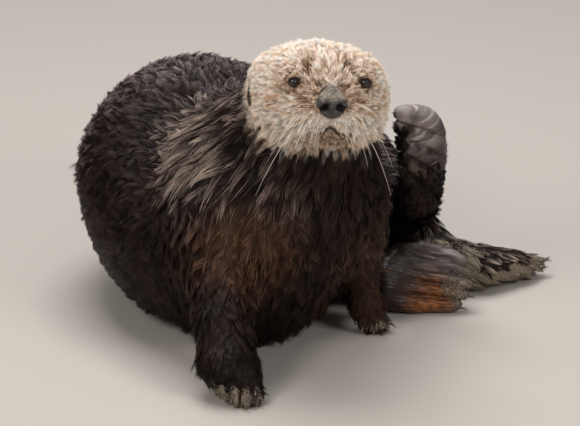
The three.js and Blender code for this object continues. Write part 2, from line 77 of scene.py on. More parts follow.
def ease(start, end, values):
    """0 below start and 1 above end, with a soft S between them. start may be the larger one."""
    t = np.clip((values - start) / (end - start), 0, 1)
    return t * t * (3 - 2 * t)


print("middle of the chest, m:", np.round(middle("chest"), 3))


# %% [markdown]
# ## The head's own directions
# The face is worked on in the head's own frame: forward out of the nose, sideways to the animal's left, and
# up, measured from the point between the eyes. The line through the eyes gives the sideways direction, so
# only the lift of the nose has to be stated.

# %% The head's own directions
NOSE_LIFT = math.radians(14)  # how far the animal points its nose above the level
between_eyes = (middle("eye_left") + middle("eye_right")) / 2
head_side = unit(middle("eye_left") - middle("eye_right"))
level_ahead = unit(np.cross(head_side, (0, 0, 1)))
head_forward = level_ahead * math.cos(NOSE_LIFT) + np.array((0, 0, 1)) * math.sin(NOSE_LIFT)
head_forward = unit(head_forward - head_side * (head_forward @ head_side))
head_up = np.cross(head_forward, head_side)
HEAD_AXES = np.array([head_forward, head_side, head_up])


def in_head(points):
    """Points in the head's frame: forward, to its left and up, from the point between the eyes."""
    return (np.asarray(points) - between_eyes) @ HEAD_AXES.T


def from_head(places):
    """The way back, from the head's frame to the model's."""
    return between_eyes + np.asarray(places) @ HEAD_AXES


nose_at = in_head(middle("nose_pad"))
print("nose in the head's frame, mm:", np.round(nose_at / MM, 1))

# %% [markdown]
# ## Camera
# A long lens from about six metres, a little above the animal, keeps the near paw and the far rump in true
# proportion. The lens length is worked out from how much of the scene it has to take in.

# %% Camera
VIEW_LIFT = math.radians(20)  # how far above the level the camera stands
VIEW_DISTANCE = 6.0
FIELD_WIDTH = 0.6105  # what the picture's width takes in, at the animal
SENSOR = 36.0  # mm
AIM = Vector((-0.0222, -0.0868, 0.1431))  # the place in the middle of the picture

camera_data = bpy.data.cameras.new("camera")
camera_data.sensor_width = SENSOR
camera_data.lens = SENSOR * VIEW_DISTANCE / FIELD_WIDTH
camera = bpy.data.objects.new("camera", camera_data)
bpy.context.collection.objects.link(camera)
camera.location = AIM + VIEW_DISTANCE * Vector((0, -math.cos(VIEW_LIFT), math.sin(VIEW_LIFT)))
camera.rotation_euler = (math.pi / 2 - VIEW_LIFT, 0, 0)
bpy.context.scene.camera = camera
print("lens:", round(camera_data.lens, 1), "mm")

# %% [markdown]
# ## Floor and light
# The floor is one plain pale sheet. Wet fur shows only by what it mirrors, so the main light is a wide cool
# sheet overhead, like a bright cloudy sky, with a warmer, softer light at the front left and a weaker one at
# the right.

# %% Floor and light
def new_material(name):
    """A material, the tree of its nodes and its Principled shader."""
    material = bpy.data.materials.new(name)
    material.use_nodes = True
    return material, material.node_tree, material.node_tree.nodes["Principled BSDF"]


FLOOR_REACH = 6.0  # how far it goes each way
floor_mesh = bpy.data.meshes.new("floor")
corners = [(-1, -1), (1, -1), (1, 1), (-1, 1)]
floor_mesh.from_pydata([(x * FLOOR_REACH, y * FLOOR_REACH, 0) for x, y in corners], [], [(0, 1, 2, 3)])
floor = bpy.data.objects.new("floor", floor_mesh)
bpy.context.collection.objects.link(floor)
floor_look, _, shader = new_material("pale_floor")
shader.inputs["Base Color"].default_value = (0.50, 0.45, 0.40, 1)
shader.inputs["Roughness"].default_value = 0.95
floor_mesh.materials.append(floor_look)

LIGHTS = [
    # name, place, size, watts, colour
    ("sky", (-0.2, 0.5, 2.4), 1.5, 56, (0.97, 0.98, 1.0)),
    ("front_left", (-1.4, -2.1, 1.8), 0.9, 34, (1.0, 0.97, 0.94)),
    ("right", (1.7, -1.8, 1.5), 0.9, 24, (1.0, 0.99, 0.97)),
]
for name, place, size, watts, colour in LIGHTS:
    light_data = bpy.data.lights.new(name, "AREA")
    light_data.size = size
    light_data.energy = watts
    light_data.color = colour
    light = bpy.data.objects.new(name, light_data)
    bpy.context.collection.objects.link(light)
    light.location = place
    light.rotation_euler = (AIM - Vector(place)).to_track_quat("-Z", "Y").to_euler()

world = bpy.data.worlds.new("studio")
bpy.context.scene.world = world
world.use_nodes = True
background = world.node_tree.nodes["Background"]
background.inputs["Color"].default_value = (0.93, 0.95, 1.0, 1)
background.inputs["Strength"].default_value = 0.20
bpy.context.scene.view_settings.view_transform = "Standard"  # plain tones, with no film curve over them
print("lights:", [row[0] for row in LIGHTS])


# %% [markdown]
# ## Reading and writing the skin as arrays
# Blender hands a whole mesh over as one array, which is far quicker than going from point to point.
# Smoothing, sculpting and combing all need each point's neighbours too. The edges of the mesh give them, and
# a sum over the edges spreads any value from point to point.

# %% Arrays of a mesh
def as_array(items, what, wide, kind=float):
    """What each item of a mesh's list holds, as one row of numbers."""
    values = np.empty(len(items) * wide, dtype=kind)
    items.foreach_get(what, values)
    return values.reshape(-1, wide)


def points_of(piece):
    return as_array(piece.data.vertices, "co", 3)


def normals_of(piece):
    return as_array(piece.data.vertices, "normal", 3)


def triangles_of(piece, what="vertices"):
    """The points, or the face corners, of each triangle."""
    piece.data.calc_loop_triangles()
    return as_array(piece.data.loop_triangles, what, 3, np.int64)


def move_points(piece, places):
    piece.data.vertices.foreach_set("co", places.astype(np.float32).ravel())
    piece.data.update()


# %% Neighbours and spreading
def neighbours_of(piece):
    """Both ends of every edge, each way round, and how many neighbours each point has."""
    ends = as_array(piece.data.edges, "vertices", 2, np.int64)
    both = np.vstack((ends, ends[:, ::-1]))
    return both, np.bincount(both[:, 0], minlength=len(piece.data.vertices))


def spread(values, neighbours, rounds, share=0.5):
    """Draws each point's value towards the mean of its neighbours, again and again."""
    (here, there), counts = neighbours[0].T, neighbours[1]
    flat = values.reshape(len(counts), -1).copy()
    share = np.broadcast_to(share, len(counts))[:, None]
    for _ in range(rounds):
        near = np.stack(
            [np.bincount(here, weights=column[there], minlength=len(counts)) for column in flat.T], axis=1
        )
        flat += share * (near / counts[:, None] - flat)
    return flat.reshape(values.shape)


# %% [markdown]
# ## The skin
# The solids of the body are cut at thin seams and have flat facets. The skin is made from them in one piece:
# their meshes are joined, remeshed over a fine grid, which closes the seams, and smoothed. Only what belongs
# to the outside is kept.

# %% Join and remesh the flesh
FLESH = [
    "head", "neck", "chest", "ribs", "loin", "rump", "tail_base", "tail_tip",
    "right_upper_foreleg", "right_forearm", "right_forepaw",
    "left_upper_foreleg", "left_forearm", "left_forepaw",
    "left_shank", "left_hind_foot", "right_shank", "right_hind_foot",
]
FILLING = ["eye_left", "eye_right", "nose_pad"]  # joined too, so that their sockets close
SKIN_GRID = 3.2 * MM


def new_object(name, places, faces):
    """An object with a triangle mesh made from arrays."""
    mesh = bpy.data.meshes.new(name)
    mesh.vertices.add(len(places))
    mesh.vertices.foreach_set("co", np.asarray(places, dtype=np.float32).ravel())
    mesh.loops.add(faces.size)
    mesh.loops.foreach_set("vertex_index", np.asarray(faces, dtype=np.int32).ravel())
    mesh.polygons.add(len(faces))
    mesh.polygons.foreach_set("loop_start", np.arange(0, faces.size, faces.shape[1], dtype=np.int32))
    mesh.update(calc_edges=True)
    mesh.shade_smooth()
    made = bpy.data.objects.new(name, mesh)
    bpy.context.collection.objects.link(made)
    return made


def apply_modifiers(piece):
    """Replaces the piece's mesh by what its modifiers make of it."""
    shown = piece.evaluated_get(bpy.context.evaluated_depsgraph_get())
    mesh = bpy.data.meshes.new_from_object(shown)
    piece.modifiers.clear()
    piece.data = mesh


places, faces, owner = [], [], []
for node in FLESH + FILLING:
    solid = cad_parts[node]
    faces.append(triangles_of(solid) + sum(len(p) for p in places))
    places.append(points_of(solid))
    owner += [FLESH.index("head" if node in FILLING else node)] * len(faces[-1])
solid_places, solid_faces, owner = np.vstack(places), np.vstack(faces), np.array(owner)
solid_tree = BVHTree.FromPolygons(solid_places.tolist(), solid_faces.tolist())


def put_on_even_grid(piece):
    """Makes the mesh anew from small, even faces, as one closed surface."""
    remesh = piece.modifiers.new("even_grid", "REMESH")
    remesh.mode = "VOXEL"
    remesh.voxel_size = SKIN_GRID
    apply_modifiers(piece)


skin = new_object("skin", solid_places, solid_faces)
put_on_even_grid(skin)
print("remeshed skin:", len(skin.data.vertices), "points")


# %% [markdown]
# The thin seams inside the body leave small bubbles in the remeshed mesh. The skin is the largest connected
# surface, and the rest is deleted.

# %% Keep the outer surface
def keep_largest_surface(piece):
    """Deletes all but the largest set of connected points."""
    form = bmesh.new()
    form.from_mesh(piece.data)
    form.verts.ensure_lookup_table()
    seen, best = set(), []
    for start in form.verts:
        if start.index in seen:
            continue
        group, reach = [start], [start]
        seen.add(start.index)
        while reach:
            for edge in reach.pop().link_edges:
                for vert in edge.verts:
                    if vert.index not in seen:
                        seen.add(vert.index)
                        group.append(vert)
                        reach.append(vert)
        if len(group) > len(best):
            best = group
    keep = {vert.index for vert in best}
    bmesh.ops.delete(form, geom=[v for v in form.verts if v.index not in keep], context="VERTS")
    form.to_mesh(piece.data)
    form.free()


keep_largest_surface(skin)
print("outer skin:", len(skin.data.vertices), "points")


# %% [markdown]
# Where the hind legs and the tail leave the rump, flesh and loose skin fill the narrow slots between the
# solids. Swelling the skin there, remeshing it and shrinking it again closes such slots and leaves everything
# wider as it was.

# %% Close the slots at the hips
SLOT = 6 * MM  # half the width of what closes
HIPS = ("rump", "left_shank", "right_shank", "tail_base")


def nearest_solid(places):
    """Which row of FLESH each place belongs to."""
    return np.array([owner[solid_tree.find_nearest(place)[2]] for place in places.tolist()])


def swell(piece, amount):
    """Moves the skin of the hips out along its normals, or in if the amount is below nought."""
    near = neighbours_of(piece)
    swells = np.array([node in HIPS for node in FLESH], dtype=float)
    share = spread(swells[nearest_solid(points_of(piece))], near, 12)
    places = spread(points_of(piece), near, 4)
    move_points(piece, places)
    move_points(piece, places + normals_of(piece) * (amount * share)[:, None])


swell(skin, SLOT)
put_on_even_grid(skin)
keep_largest_surface(skin)
swell(skin, -SLOT)
print("skin without slots:", len(skin.data.vertices), "points")


# %% [markdown]
# ## What grows where
# Each row of this table belongs to one named solid. It says how much the flat facets of the solid have to be
# smoothed, how deep the coat is there, and what its tufts are like. The rows are spread over the skin
# afterwards, so that one kind of coat changes softly into the next.

# %% The table of the coat
COLUMNS = ("rounds", "depth", "length", "width", "lift", "droop", "gather", "clump", "stray", "spacing")
# smoothing rounds; depth of the coat, length and width of a tuft in mm; its lift off the skin in degrees; how
# far it hangs, from 0 to 1; how far it joins its clump, from 0 to 1; the clumps' spacing in mm; how far
# clumps turn out of the lie, in degrees; the tufts' spacing in mm
ROWS = {
    "head": (26, 5.0, 10.5, 0.54, 32, 0.05, 0.57, 3.9, 18, 0.80),
    "neck": (70, 8.0, 30.0, 0.64, 27, 0.38, 0.85, 8.5, 20, 1.14),
    "chest": (80, 8.0, 19.0, 0.60, 33, 0.30, 0.74, 7.5, 34, 1.20),
    "ribs": (90, 9.0, 15.5, 0.80, 42, 0.05, 0.90, 7.0, 34, 1.32),
    "loin": (90, 9.0, 15.5, 0.80, 42, 0.05, 0.90, 7.0, 34, 1.36),
    "rump": (90, 8.5, 15.0, 0.80, 36, 0.10, 0.88, 7.0, 28, 1.38),
    "tail_base": (30, 4.5, 20.0, 1.0, 14, 0.20, 0.92, 9.0, 12, 1.42),
    "tail_tip": (18, 3.0, 17.0, 1.0, 12, 0.15, 0.92, 9.0, 10, 1.42),
    "right_upper_foreleg": (60, 7.0, 21.0, 0.64, 31, 0.32, 0.85, 7.5, 24, 1.20),
    "right_forearm": (40, 6.0, 16.0, 0.64, 30, 0.28, 0.86, 6.5, 20, 1.18),
    "right_forepaw": (5, 1.0, 9.0, 0.60, 24, 0.15, 0.80, 4.5, 18, 0.96),
    "left_upper_foreleg": (60, 7.0, 19.0, 0.68, 26, 0.30, 0.80, 7.5, 24, 1.32),
    "left_forearm": (40, 6.0, 15.0, 0.68, 26, 0.25, 0.82, 7.0, 18, 1.28),
    "left_forepaw": (5, 0.8, 7.5, 0.60, 20, 0.15, 0.80, 4.5, 18, 0.96),
    "left_shank": (50, 6.5, 17.0, 0.85, 28, 0.25, 0.85, 7.5, 20, 1.40),
    "left_hind_foot": (5, -0.8, 9.0, 0.8, 22, 0.10, 0.80, 5.5, 20, 1.20),
    "right_shank": (50, 6.5, 15.0, 0.85, 24, 0.20, 0.82, 7.5, 20, 1.42),
    "right_hind_foot": (5, -0.8, 8.0, 0.8, 18, 0.05, 0.80, 5.5, 14, 1.20),
}
TABLE = np.array([ROWS[node] for node in FLESH])


def column(name):
    return TABLE[:, COLUMNS.index(name)]


print("table:", *TABLE.shape, "rows and columns")


# %% [markdown]
# ## Smoothing the skin and drawing it in
# Each point takes the row of the solid that it lies nearest to. The trunk is smoothed hardest, because its
# facets are largest, and the toes hardly at all. Then the skin is drawn in along its normals by the depth of
# the coat, so that the tips of the coat end up where the solids do.

# %% Smooth and draw in
near = neighbours_of(skin)
part = nearest_solid(points_of(skin))
rounds = spread(column("rounds")[part], near, 12)
MOST_ROUNDS = int(rounds.max())
places = spread(points_of(skin), near, MOST_ROUNDS, share=0.5 * rounds / MOST_ROUNDS)
move_points(skin, places)
depth = spread(column("depth")[part], near, 25) * MM
move_points(skin, points_of(skin) - normals_of(skin) * depth[:, None])
move_points(skin, spread(points_of(skin), near, 2, share=0.3))
print("skin smoothed over", MOST_ROUNDS, "rounds and drawn in by up to", round(depth.max() / MM, 1), "mm")


# %% [markdown]
# ## The lie of the coat
# Hair lies from the nose backwards, along the trunk to the tail and down each leg. Each solid gets the
# direction from the part before it to the part after it. On the head the hair spreads out from the nose.
# The directions are laid flat on the skin and spread over it, which combs the whole animal in one sweep.

# %% Comb the skin
CHAINS = [
    ("head", "neck", "ribs", "loin", "rump", "tail_base", "tail_tip"),
    ("chest", "right_upper_foreleg", "right_forearm", "right_forepaw"),
    ("chest", "left_upper_foreleg", "left_forearm", "left_forepaw"),
    ("rump", "left_shank", "left_hind_foot"),
    ("rump", "right_shank", "right_hind_foot"),
]
WEIGHT_OF_WATER = 0.35  # how far wet hair turns down
COMB_STROKES = 6  # how often the directions are spread and laid flat again


def combing_directions():
    """Which way the hair runs on each solid."""
    ways = {"chest": unit(middle("chest") - middle("neck"))}
    for chain in CHAINS:
        for i, node in enumerate(chain):
            before, after = chain[max(i - 1, 0)], chain[min(i + 1, len(chain) - 1)]
            ways.setdefault(node, unit(middle(after) - middle(before)))
    return np.array([ways[node] for node in FLESH])


def lay_flat(vectors, normals):
    """Directions with what points out of the skin taken away."""
    return unit(vectors - normals * np.sum(vectors * normals, axis=1, keepdims=True))


def comb(piece, part, near):
    """Which way the hair lies at each point of the skin."""
    places, normals = points_of(piece), normals_of(piece)
    from_nose = places - from_head(nose_at)
    way = combing_directions()[part] + WEIGHT_OF_WATER * np.array((0, 0, -1))
    on_head = (part == FLESH.index("head"))[:, None]
    way = lay_flat(np.where(on_head, from_nose, way), normals)
    for _ in range(COMB_STROKES):
        way = lay_flat(spread(way, near, 10), normals)
    return way


lie = comb(skin, part, near)
print("combed", len(lie), "points")


# %% [markdown]
# ## Finer skin on the face and the feet
# Lids, lips and the grooves between the toes are finer than the skin's grid. The mesh is divided there, once
# on the face and the feet and once more round the eyes and the mouth.

# %% Divide the face and the feet
FEET = ("right_forepaw", "left_forepaw", "left_hind_foot", "right_hind_foot")
EYE_OUT = 37 * MM  # how far each eye is from the middle of the face


def divide(piece, wanted):
    """Splits every face whose corners are all wanted, given one truth for each point."""
    form = bmesh.new()
    form.from_mesh(piece.data)
    edges = [e for e in form.edges if all(wanted[v.index] for v in e.verts)]
    bmesh.ops.subdivide_edges(form, edges=edges, cuts=1, use_grid_fill=True)
    form.to_mesh(piece.data)
    form.free()


def on_face(places, front, wide, low, high):
    """Points of the head's front, within limits in mm from the point between the eyes."""
    forward, side, up = (in_head(places) / MM).T
    return (forward > front) & (np.abs(side) < wide) & (up > low) & (up < high)


places = points_of(skin)
foot_rows = [FLESH.index(node) for node in FEET]
divide(skin, on_face(places, -32, 62, -80, 28) | np.isin(nearest_solid(places), foot_rows))
forward, side, up = (in_head(points_of(skin)) / MM).T
by_eye = np.hypot(np.abs(side) - EYE_OUT / MM, up) < 17
by_mouth = (np.abs(side) < 26) & (up > -60) & (up < -38)
divide(skin, (forward > -25) & (by_eye | by_mouth))
print("skin with a finer face and feet:", len(skin.data.vertices), "points")

# %% [markdown]
# ## Lids, lips and the bed of the nose
# A live eye sits in the head: two thick lids hold it, and the skin folds above them. The skin round each eye
# is moved straight forward or back. Inside the opening it goes behind the ball, at the opening
# it stands just proud of it, and further out it returns to the face. The mouth is a short groove under the
# nose, hidden at its ends by the whisker pads.

# %% Sculpt the face
EYE_RADIUS = (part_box("eye_left")[1][2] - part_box("eye_left")[0][2]) / 2
EYE_SUNK = 2.6 * MM  # how far the ball sits behind the solid's place, for the coat stands round it
EYE_OPENING = (5.6 * MM, 4.5 * MM)  # half its width and half its height
EYE_TILT = 0.10  # how far the outer corner is lower than the inner one, for each mm outwards
LID = 1.1 * MM
BEHIND_BALL = 3 * MM  # how far back the skin goes inside the opening
FACE_FRONT = -14 * MM  # skin further back than this isn't moved


def ball_front(far):
    """How far forward the ball's surface is at a distance from its middle line."""
    return np.sqrt(np.maximum(EYE_RADIUS**2 - np.minimum(far, 0.95 * EYE_RADIUS) ** 2, 0)) - EYE_SUNK


def sculpt_lids(head):
    """Fits the skin round each eye, given points in the head's frame."""
    for turn in (1, -1):
        out = turn * head[:, 1] - EYE_OUT
        up = head[:, 2] + EYE_TILT * out
        opening = np.hypot(out / EYE_OPENING[0], up / EYE_OPENING[1])
        ball = ball_front(np.hypot(out, up))
        inside = ease(1.06, 0.9, opening)
        lid = ball + LID * (1 + 0.4 * ease(0, 4 * MM, up))
        target = lid * (1 - inside) + (ball - BEHIND_BALL) * inside
        crease = 0.9 * MM * np.exp(-(((opening - 1.75) / 0.22) ** 2)) * ease(-2 * MM, 3 * MM, up)
        in_front = head[:, 0] > FACE_FRONT
        share = (1 - ease(1.35, 3.0, opening)) * in_front
        head[:, 0] += share * (target - head[:, 0]) - crease * in_front


def lip_line(side):
    """The height of the mouth's line, in mm: it comes down steeply on each side of the middle."""
    return -45 - 6.5 * ease(0, 11, side)


def sculpt_mouth(head):
    """Cuts the mouth, the groove above it and the furrows of the brow, and puts on a small chin."""
    forward, side, up = head.T / MM
    side = np.abs(side)
    front = ease(-6, 6, forward)
    mouth = 6.5 * np.exp(-(((up - lip_line(side)) / 2.5) ** 2)) * ease(26, 10, side)
    philtrum = 3.0 * np.exp(-((side / 1.5) ** 2)) * ease(-49, -46, up) * ease(-33, -37, up)
    chin = 1.8 * np.exp(-(((up + 55) / 4.5) ** 2)) * ease(20, 8, side)
    furrow = 1.6 * np.exp(-(((side - 32 + 0.5 * up) / 2.6) ** 2)) * ease(3, 9, up) * ease(27, 18, up)
    head[:, 0] += front * (chin - mouth - philtrum - furrow) * MM


def sculpt_nose_bed(head):
    """Draws the skin back behind the nose pad."""
    far = np.linalg.norm((head - nose_at)[:, 1:] / (np.array((14.5, 15.5)) * MM), axis=1)
    head[:, 0] -= 6 * MM * ease(1.0, 0.75, far) * (head[:, 0] > 0)


head = in_head(points_of(skin))
sculpt_lids(head)
sculpt_mouth(head)
sculpt_nose_bed(head)
is_head = nearest_solid(points_of(skin)) == FLESH.index("head")
move_points(skin, np.where(is_head[:, None], from_head(head), points_of(skin)))
print("face sculpted on", int(is_head.sum()), "points")

# %% [markdown]
# ## Toes and wrinkles
# A claw shows where a toe ends and which way it points. A point of the foot that is as near to one toe's line
# as to the next lies between two toes, and is pressed in there. Loose skin runs in wrinkles along the toes,
# so each point also gets its place across and along the foot, which the skin's colour uses as well. They fade
# out towards the tips of the toes, where the skin is tight.

# %% Groove the feet
CLAWS = {
    # its claws, the toes' length, the depth of the grooves and of the wrinkles, mm
    "right_forepaw": ("right_fore_claw", 24, 3.4, 0.0),
    "left_forepaw": ("left_fore_claw", 22, 3.2, 0.0),
    "right_hind_foot": ("right_hind_claw", 86, 5.5, 0.8),
    "left_hind_foot": ("left_hind_claw", 74, 5.2, 0.7),
}
GROOVE_HALF_WIDTH = 3.4  # mm
LEAST_HEIGHT = 0.8 * MM  # of the skin above the floor


def claw_line(node):
    """The tip of a claw, the way it points and its length."""
    places = points_of(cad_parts[node])
    centre = places.mean(axis=0)
    tip = places[np.argmax(np.linalg.norm(places - centre, axis=1))]
    way = unit(tip - centre)
    return tip, way, float(np.ptp(places @ way))


def foot_lines(places, foot):
    """For places on a foot, in mm: how far across it, how far behind the claws, and how much nearer to one
    toe's line than to the next."""
    lines = [claw_line(f"{CLAWS[foot][0]}_{i}")[:2] for i in range(1, 6)]
    away, behind = [], []
    for tip, way in lines:
        back = (tip - places) @ way
        away.append(np.linalg.norm(places - tip + back[:, None] * way, axis=1) / MM)
        behind.append(back / MM)
    away, behind = np.array(away), np.array(behind)
    order = np.argsort(away, axis=0)
    first, second = np.take_along_axis(away, order[:2], axis=0)
    across = (places - lines[0][0]) @ unit(lines[4][0] - lines[0][0]) / MM
    return across, np.take_along_axis(behind, order[:1], axis=0)[0], second - first


def wrinkles(across, back):
    """Wavy folds that run along the toes, from -1 to 1."""
    wave = across / 2.6 + 2.2 * np.sin(back / 13.0 + across / 19.0) + 1.1 * np.sin(back / 6.1 + across / 8.0)
    strength = 0.5 + 0.5 * np.sin(across / 7.3 + back / 17.0 + 1.0)
    return strength * (0.6 * np.sin(wave) + 0.4 * np.sin(1.73 * wave + back / 8.0))


def groove_feet(places, normals, part):
    """Presses in the skin between the toes and in the wrinkles."""
    for foot, (_, toe_length, depth, fold) in CLAWS.items():
        mine = np.flatnonzero(part == FLESH.index(foot))
        across, back, between = foot_lines(places[mine], foot)
        groove = depth * np.exp(-((between / GROOVE_HALF_WIDTH) ** 2))
        press = groove * ease(toe_length, 0.6 * toe_length, back)
        press += fold * wrinkles(across, back) * ease(10, 30, back)
        places[mine] -= normals[mine] * (press * MM)[:, None]


part = nearest_solid(points_of(skin))
places = points_of(skin)
groove_feet(places, normals_of(skin), part)
move_points(skin, places)
near = neighbours_of(skin)
move_points(skin, spread(points_of(skin), near, 2, share=0.25))
places = points_of(skin)
places[:, 2] = np.maximum(places[:, 2], LEAST_HEIGHT)
move_points(skin, places)
lie = comb(skin, part, near)
print("toes grooved, skin rests", round(places[:, 2].min() / MM, 1), "mm above the floor")

# %% [markdown]
# ## Where no hair grows
# The soles and webs of the hind feet, the lips, the rims of the eyes and the beds of the nose and the ears
# are bare. The lifted hind foot keeps a fringe of hair on the tips of its toes, apart from the top one.

# %% Bare skin
BARE_FROM = {"left_hind_foot": (84, 112), "right_hind_foot": (38, 56)}  # mm from the shank's middle
FRINGE = {"left_hind_foot": (8, 24), "right_hind_foot": (0, 1)}  # mm behind the claws, where toe hair ends
EAR_AHEAD = 5 * MM  # how far the ear sits in front of its solid's middle
EAR_REACH = np.array((6.0, 20.0, 11.0)) * MM  # how far the bed of an ear reaches: forward, sideways and up


def round_ear(head):
    """Distance from the nearer ear along the side of the head, as a share of the ear's reach."""
    shares = []
    for node in ("ear_left", "ear_right"):
        ear = in_head(middle(node)) + (EAR_AHEAD, 0, 0)
        shares.append(np.linalg.norm((head - ear) / EAR_REACH, axis=1))
    return np.minimum(*shares)


def bare_skin(places):
    """1 where the skin is bare and 0 where hair grows."""
    forward, side, up = (in_head(places) / MM).T
    side = np.abs(side)
    eye = 1 - ease(0.95, 1.25, np.hypot((side - EYE_OUT / MM) / 6.1, up / 5.0))
    nose = 1 - ease(0.9, 1.0, np.hypot(side / 15.5, (up + 19) / 17.5))
    lips = np.exp(-(((up - lip_line(side)) / 2.6) ** 2)) * ease(15, 8, side)
    bare = np.maximum(np.maximum(eye, nose), lips) * ease(-25, -15, forward)
    bare = np.maximum(bare, 1 - ease(0.8, 1.1, round_ear(in_head(places))))
    part = nearest_solid(places)
    for foot, (start, end) in BARE_FROM.items():
        ankle = middle(foot.replace("hind_foot", "shank"))
        past_ankle = np.linalg.norm(places - ankle, axis=1) / MM
        _, behind_claws, _ = foot_lines(places, foot)
        top_toe = ease(38, 50, (places[:, 2] - middle(foot)[2]) / MM)
        past_fringe = np.maximum(ease(*FRINGE[foot], behind_claws), top_toe)
        here = (part == FLESH.index(foot)) * ease(start, end, past_ankle) * past_fringe
        bare = np.maximum(bare, here)
    return bare


print("bare:", round(100 * float(bare_skin(points_of(skin)).mean()), 1), "% of the skin's points")


# %% [markdown]
# ## Unwrapping the skin
# The skin is cut into flat islands with Smart UV Project. The same map places every tuft's patch, so that a
# baked picture of the skin and one of the coat agree.

# %% Unwrap the skin
ISLAND_ANGLE = math.radians(66)  # how far an island may bend
ISLAND_GAP = 0.002


def unwrap(piece):
    """Gives the piece a map named OFBake."""
    piece.data.uv_layers.new(name="OFBake")
    bpy.context.view_layer.objects.active = piece
    piece.select_set(True)
    bpy.ops.object.mode_set(mode="EDIT")
    bpy.ops.mesh.select_all(action="SELECT")
    bpy.ops.uv.smart_project(angle_limit=ISLAND_ANGLE, island_margin=ISLAND_GAP)
    bpy.ops.object.mode_set(mode="OBJECT")
    piece.select_set(False)


unwrap(skin)
skin_uvs = as_array(skin.data.uv_layers["OFBake"].data, "uv", 2)
triangle_loops = triangles_of(skin, "loops")


def skin_uv(roots):
    """Each root's place on the skin's map."""
    chosen, weights = roots
    return np.einsum("nc,ncu->nu", weights, skin_uvs[triangle_loops[chosen]])


print("skin unwrapped:", len(skin_uvs), "corners")


# %% [markdown]
# ## Markings
# The head is pale, cream on its crown and cheeks and brown round the eyes and the mouth. The body is nearly
# black, with russet on the chest and forelegs. Three masks paint light instead: painted highlights of the sky
# on the tips high on the back, painted tan glints on the locks of the shoulder and the tail, and painted
# shade low on the body, where the painted highlights on the tips fade. The markings are soft masks, worked
# out from places on the animal. The skin and every tuft get the same masks, each tuft at its root, so that a
# tuft keeps one colour however far it hangs over its neighbours.

# %% Masks for the markings
FACE_MIDDLE = -14  # its height in the head's frame, mm
FACE_REACH = (84, 60, 134)  # how far the pale coat reaches sideways, below the face's middle and back, mm


def ball_mask(places, centre, radius, softness=0.5):
    """1 inside a ball and 0 outside it, with a soft edge."""
    far = np.linalg.norm(places - centre, axis=1) / (radius * MM)
    return 1 - ease(1 - softness, 1 + softness, far)


def beside(node, right, away, up):
    """A place near the middle of a solid, in mm towards +x, towards +y and up."""
    return middle(node) + np.array((right, away, up)) * MM


def markings(places):
    """Every mask at these places, by name."""
    forward, side, up = (in_head(places) / MM).T
    side = np.abs(side)
    _, y, z = places.T / MM
    below = np.minimum(up - FACE_MIDDLE, 0) / FACE_REACH[1]
    behind = np.abs(np.minimum(forward, 0) / FACE_REACH[2])
    reach = (np.hypot(side / FACE_REACH[0], below) ** 3 + behind**3) ** (1 / 3)
    pale = 1 - ease(0.90, 1.08, reach)

    chin_fringe = ease(-24, -38, up) * ease(-60, -10, forward)
    cream = np.maximum(ease(10, 36, up), 0.9 * chin_fringe) + 0.6 * ease(46, 68, side)
    eye = 0.65 - 0.65 * ease(7, 14, np.hypot(side - EYE_OUT / MM, up))
    beside_nose = (1 - ease(10, 22, np.hypot(side - 17, up + 14))) * ease(-10, 8, forward)
    furrow = np.exp(-(((side - 26 + 0.45 * up) / 6.0) ** 2)) * ease(2, 9, up) * ease(34, 20, up)
    chin = ease(-46, -52, up) * ease(36, 16, side) * ease(-40, -12, forward)
    brown = np.maximum.reduce((eye, 0.4 * beside_nose, 0.9 * furrow, 1.9 * chin))

    russet = ball_mask(places, beside("right_upper_foreleg", 24, -20, 8), 55)
    russet = np.maximum(russet, 0.6 * ball_mask(places, middle("left_forearm"), 50))
    russet = np.maximum(russet, 0.5 * ball_mask(places, beside("left_upper_foreleg", 0, -20, 25), 45))
    tail = ball_mask(places, beside("tail_tip", -10, 0, 0), 90, 0.3) * ease(18, 34, z)
    shoulder = ball_mask(places, beside("neck", -38, 8, -24), 86, 0.4) * (1 - pale)
    return {
        "pale": pale,
        "cream": np.clip(cream, 0, 1),
        "brown": np.clip(brown, 0, 1),
        "russet": russet * (1 - pale),
        # painted highlight: lighter tips high on the back, where wet hair mirrors the sky
        "sky_sheen": ease(-20, 60, y) * ease(70, 170, z),
        # painted highlight: where tan glints are painted on the locks of the shoulder and the tail
        "lock_glint": np.maximum(shoulder, 0.6 * tail),
        # painted shade: low on the body the painted highlights on the tips fade
        "underside_shade": ease(100, 30, z) * (1 - tail),
        "sand": sand_mask(places),
        "ochre": ochre_mask(places),
        "worn_and_lit": worn_and_lit_mask(places),
    }


def sand_mask(places):
    """Where wet sand clings: on the toes, along the underside of the tail and on the lying foot's rim."""
    z = places[:, 2] / MM
    on_toe = 0.2 + 0.8 * ease(0.5, 4.5, foot_lines(places, "right_forepaw")[2])
    right_paw = ball_mask(places, beside("right_forepaw", 0, -25, -25), 40, 0.7) * ease(52, 18, z) * on_toe
    left_paw = ball_mask(places, beside("left_forepaw", 10, -10, -20), 32, 0.4) * ease(34, 12, z)
    tail = np.maximum(
        ball_mask(places, beside("tail_tip", -20, -10, -20), 78, 0.4) * ease(36, 24, z),
        0.8 * ball_mask(places, beside("tail_base", 5, -35, 0), 36, 0.5),
    )
    rim = 0.8 * ball_mask(places, beside("right_hind_foot", 42, -10, -10), 30, 0.5)
    return np.clip(np.maximum.reduce((right_paw, 0.7 * left_paw, tail, rim)), 0, 1)


def ochre_mask(places):
    """The rubbed, orange-brown side of the lying foot and the streaks below the raised one."""
    lying = ball_mask(places, beside("right_hind_foot", 0, -30, -16), 30, 0.5)
    raised = 0.35 * ball_mask(places, beside("left_hind_foot", -15, -20, -55), 40, 0.6)
    return np.clip(lying + raised, 0, 1)


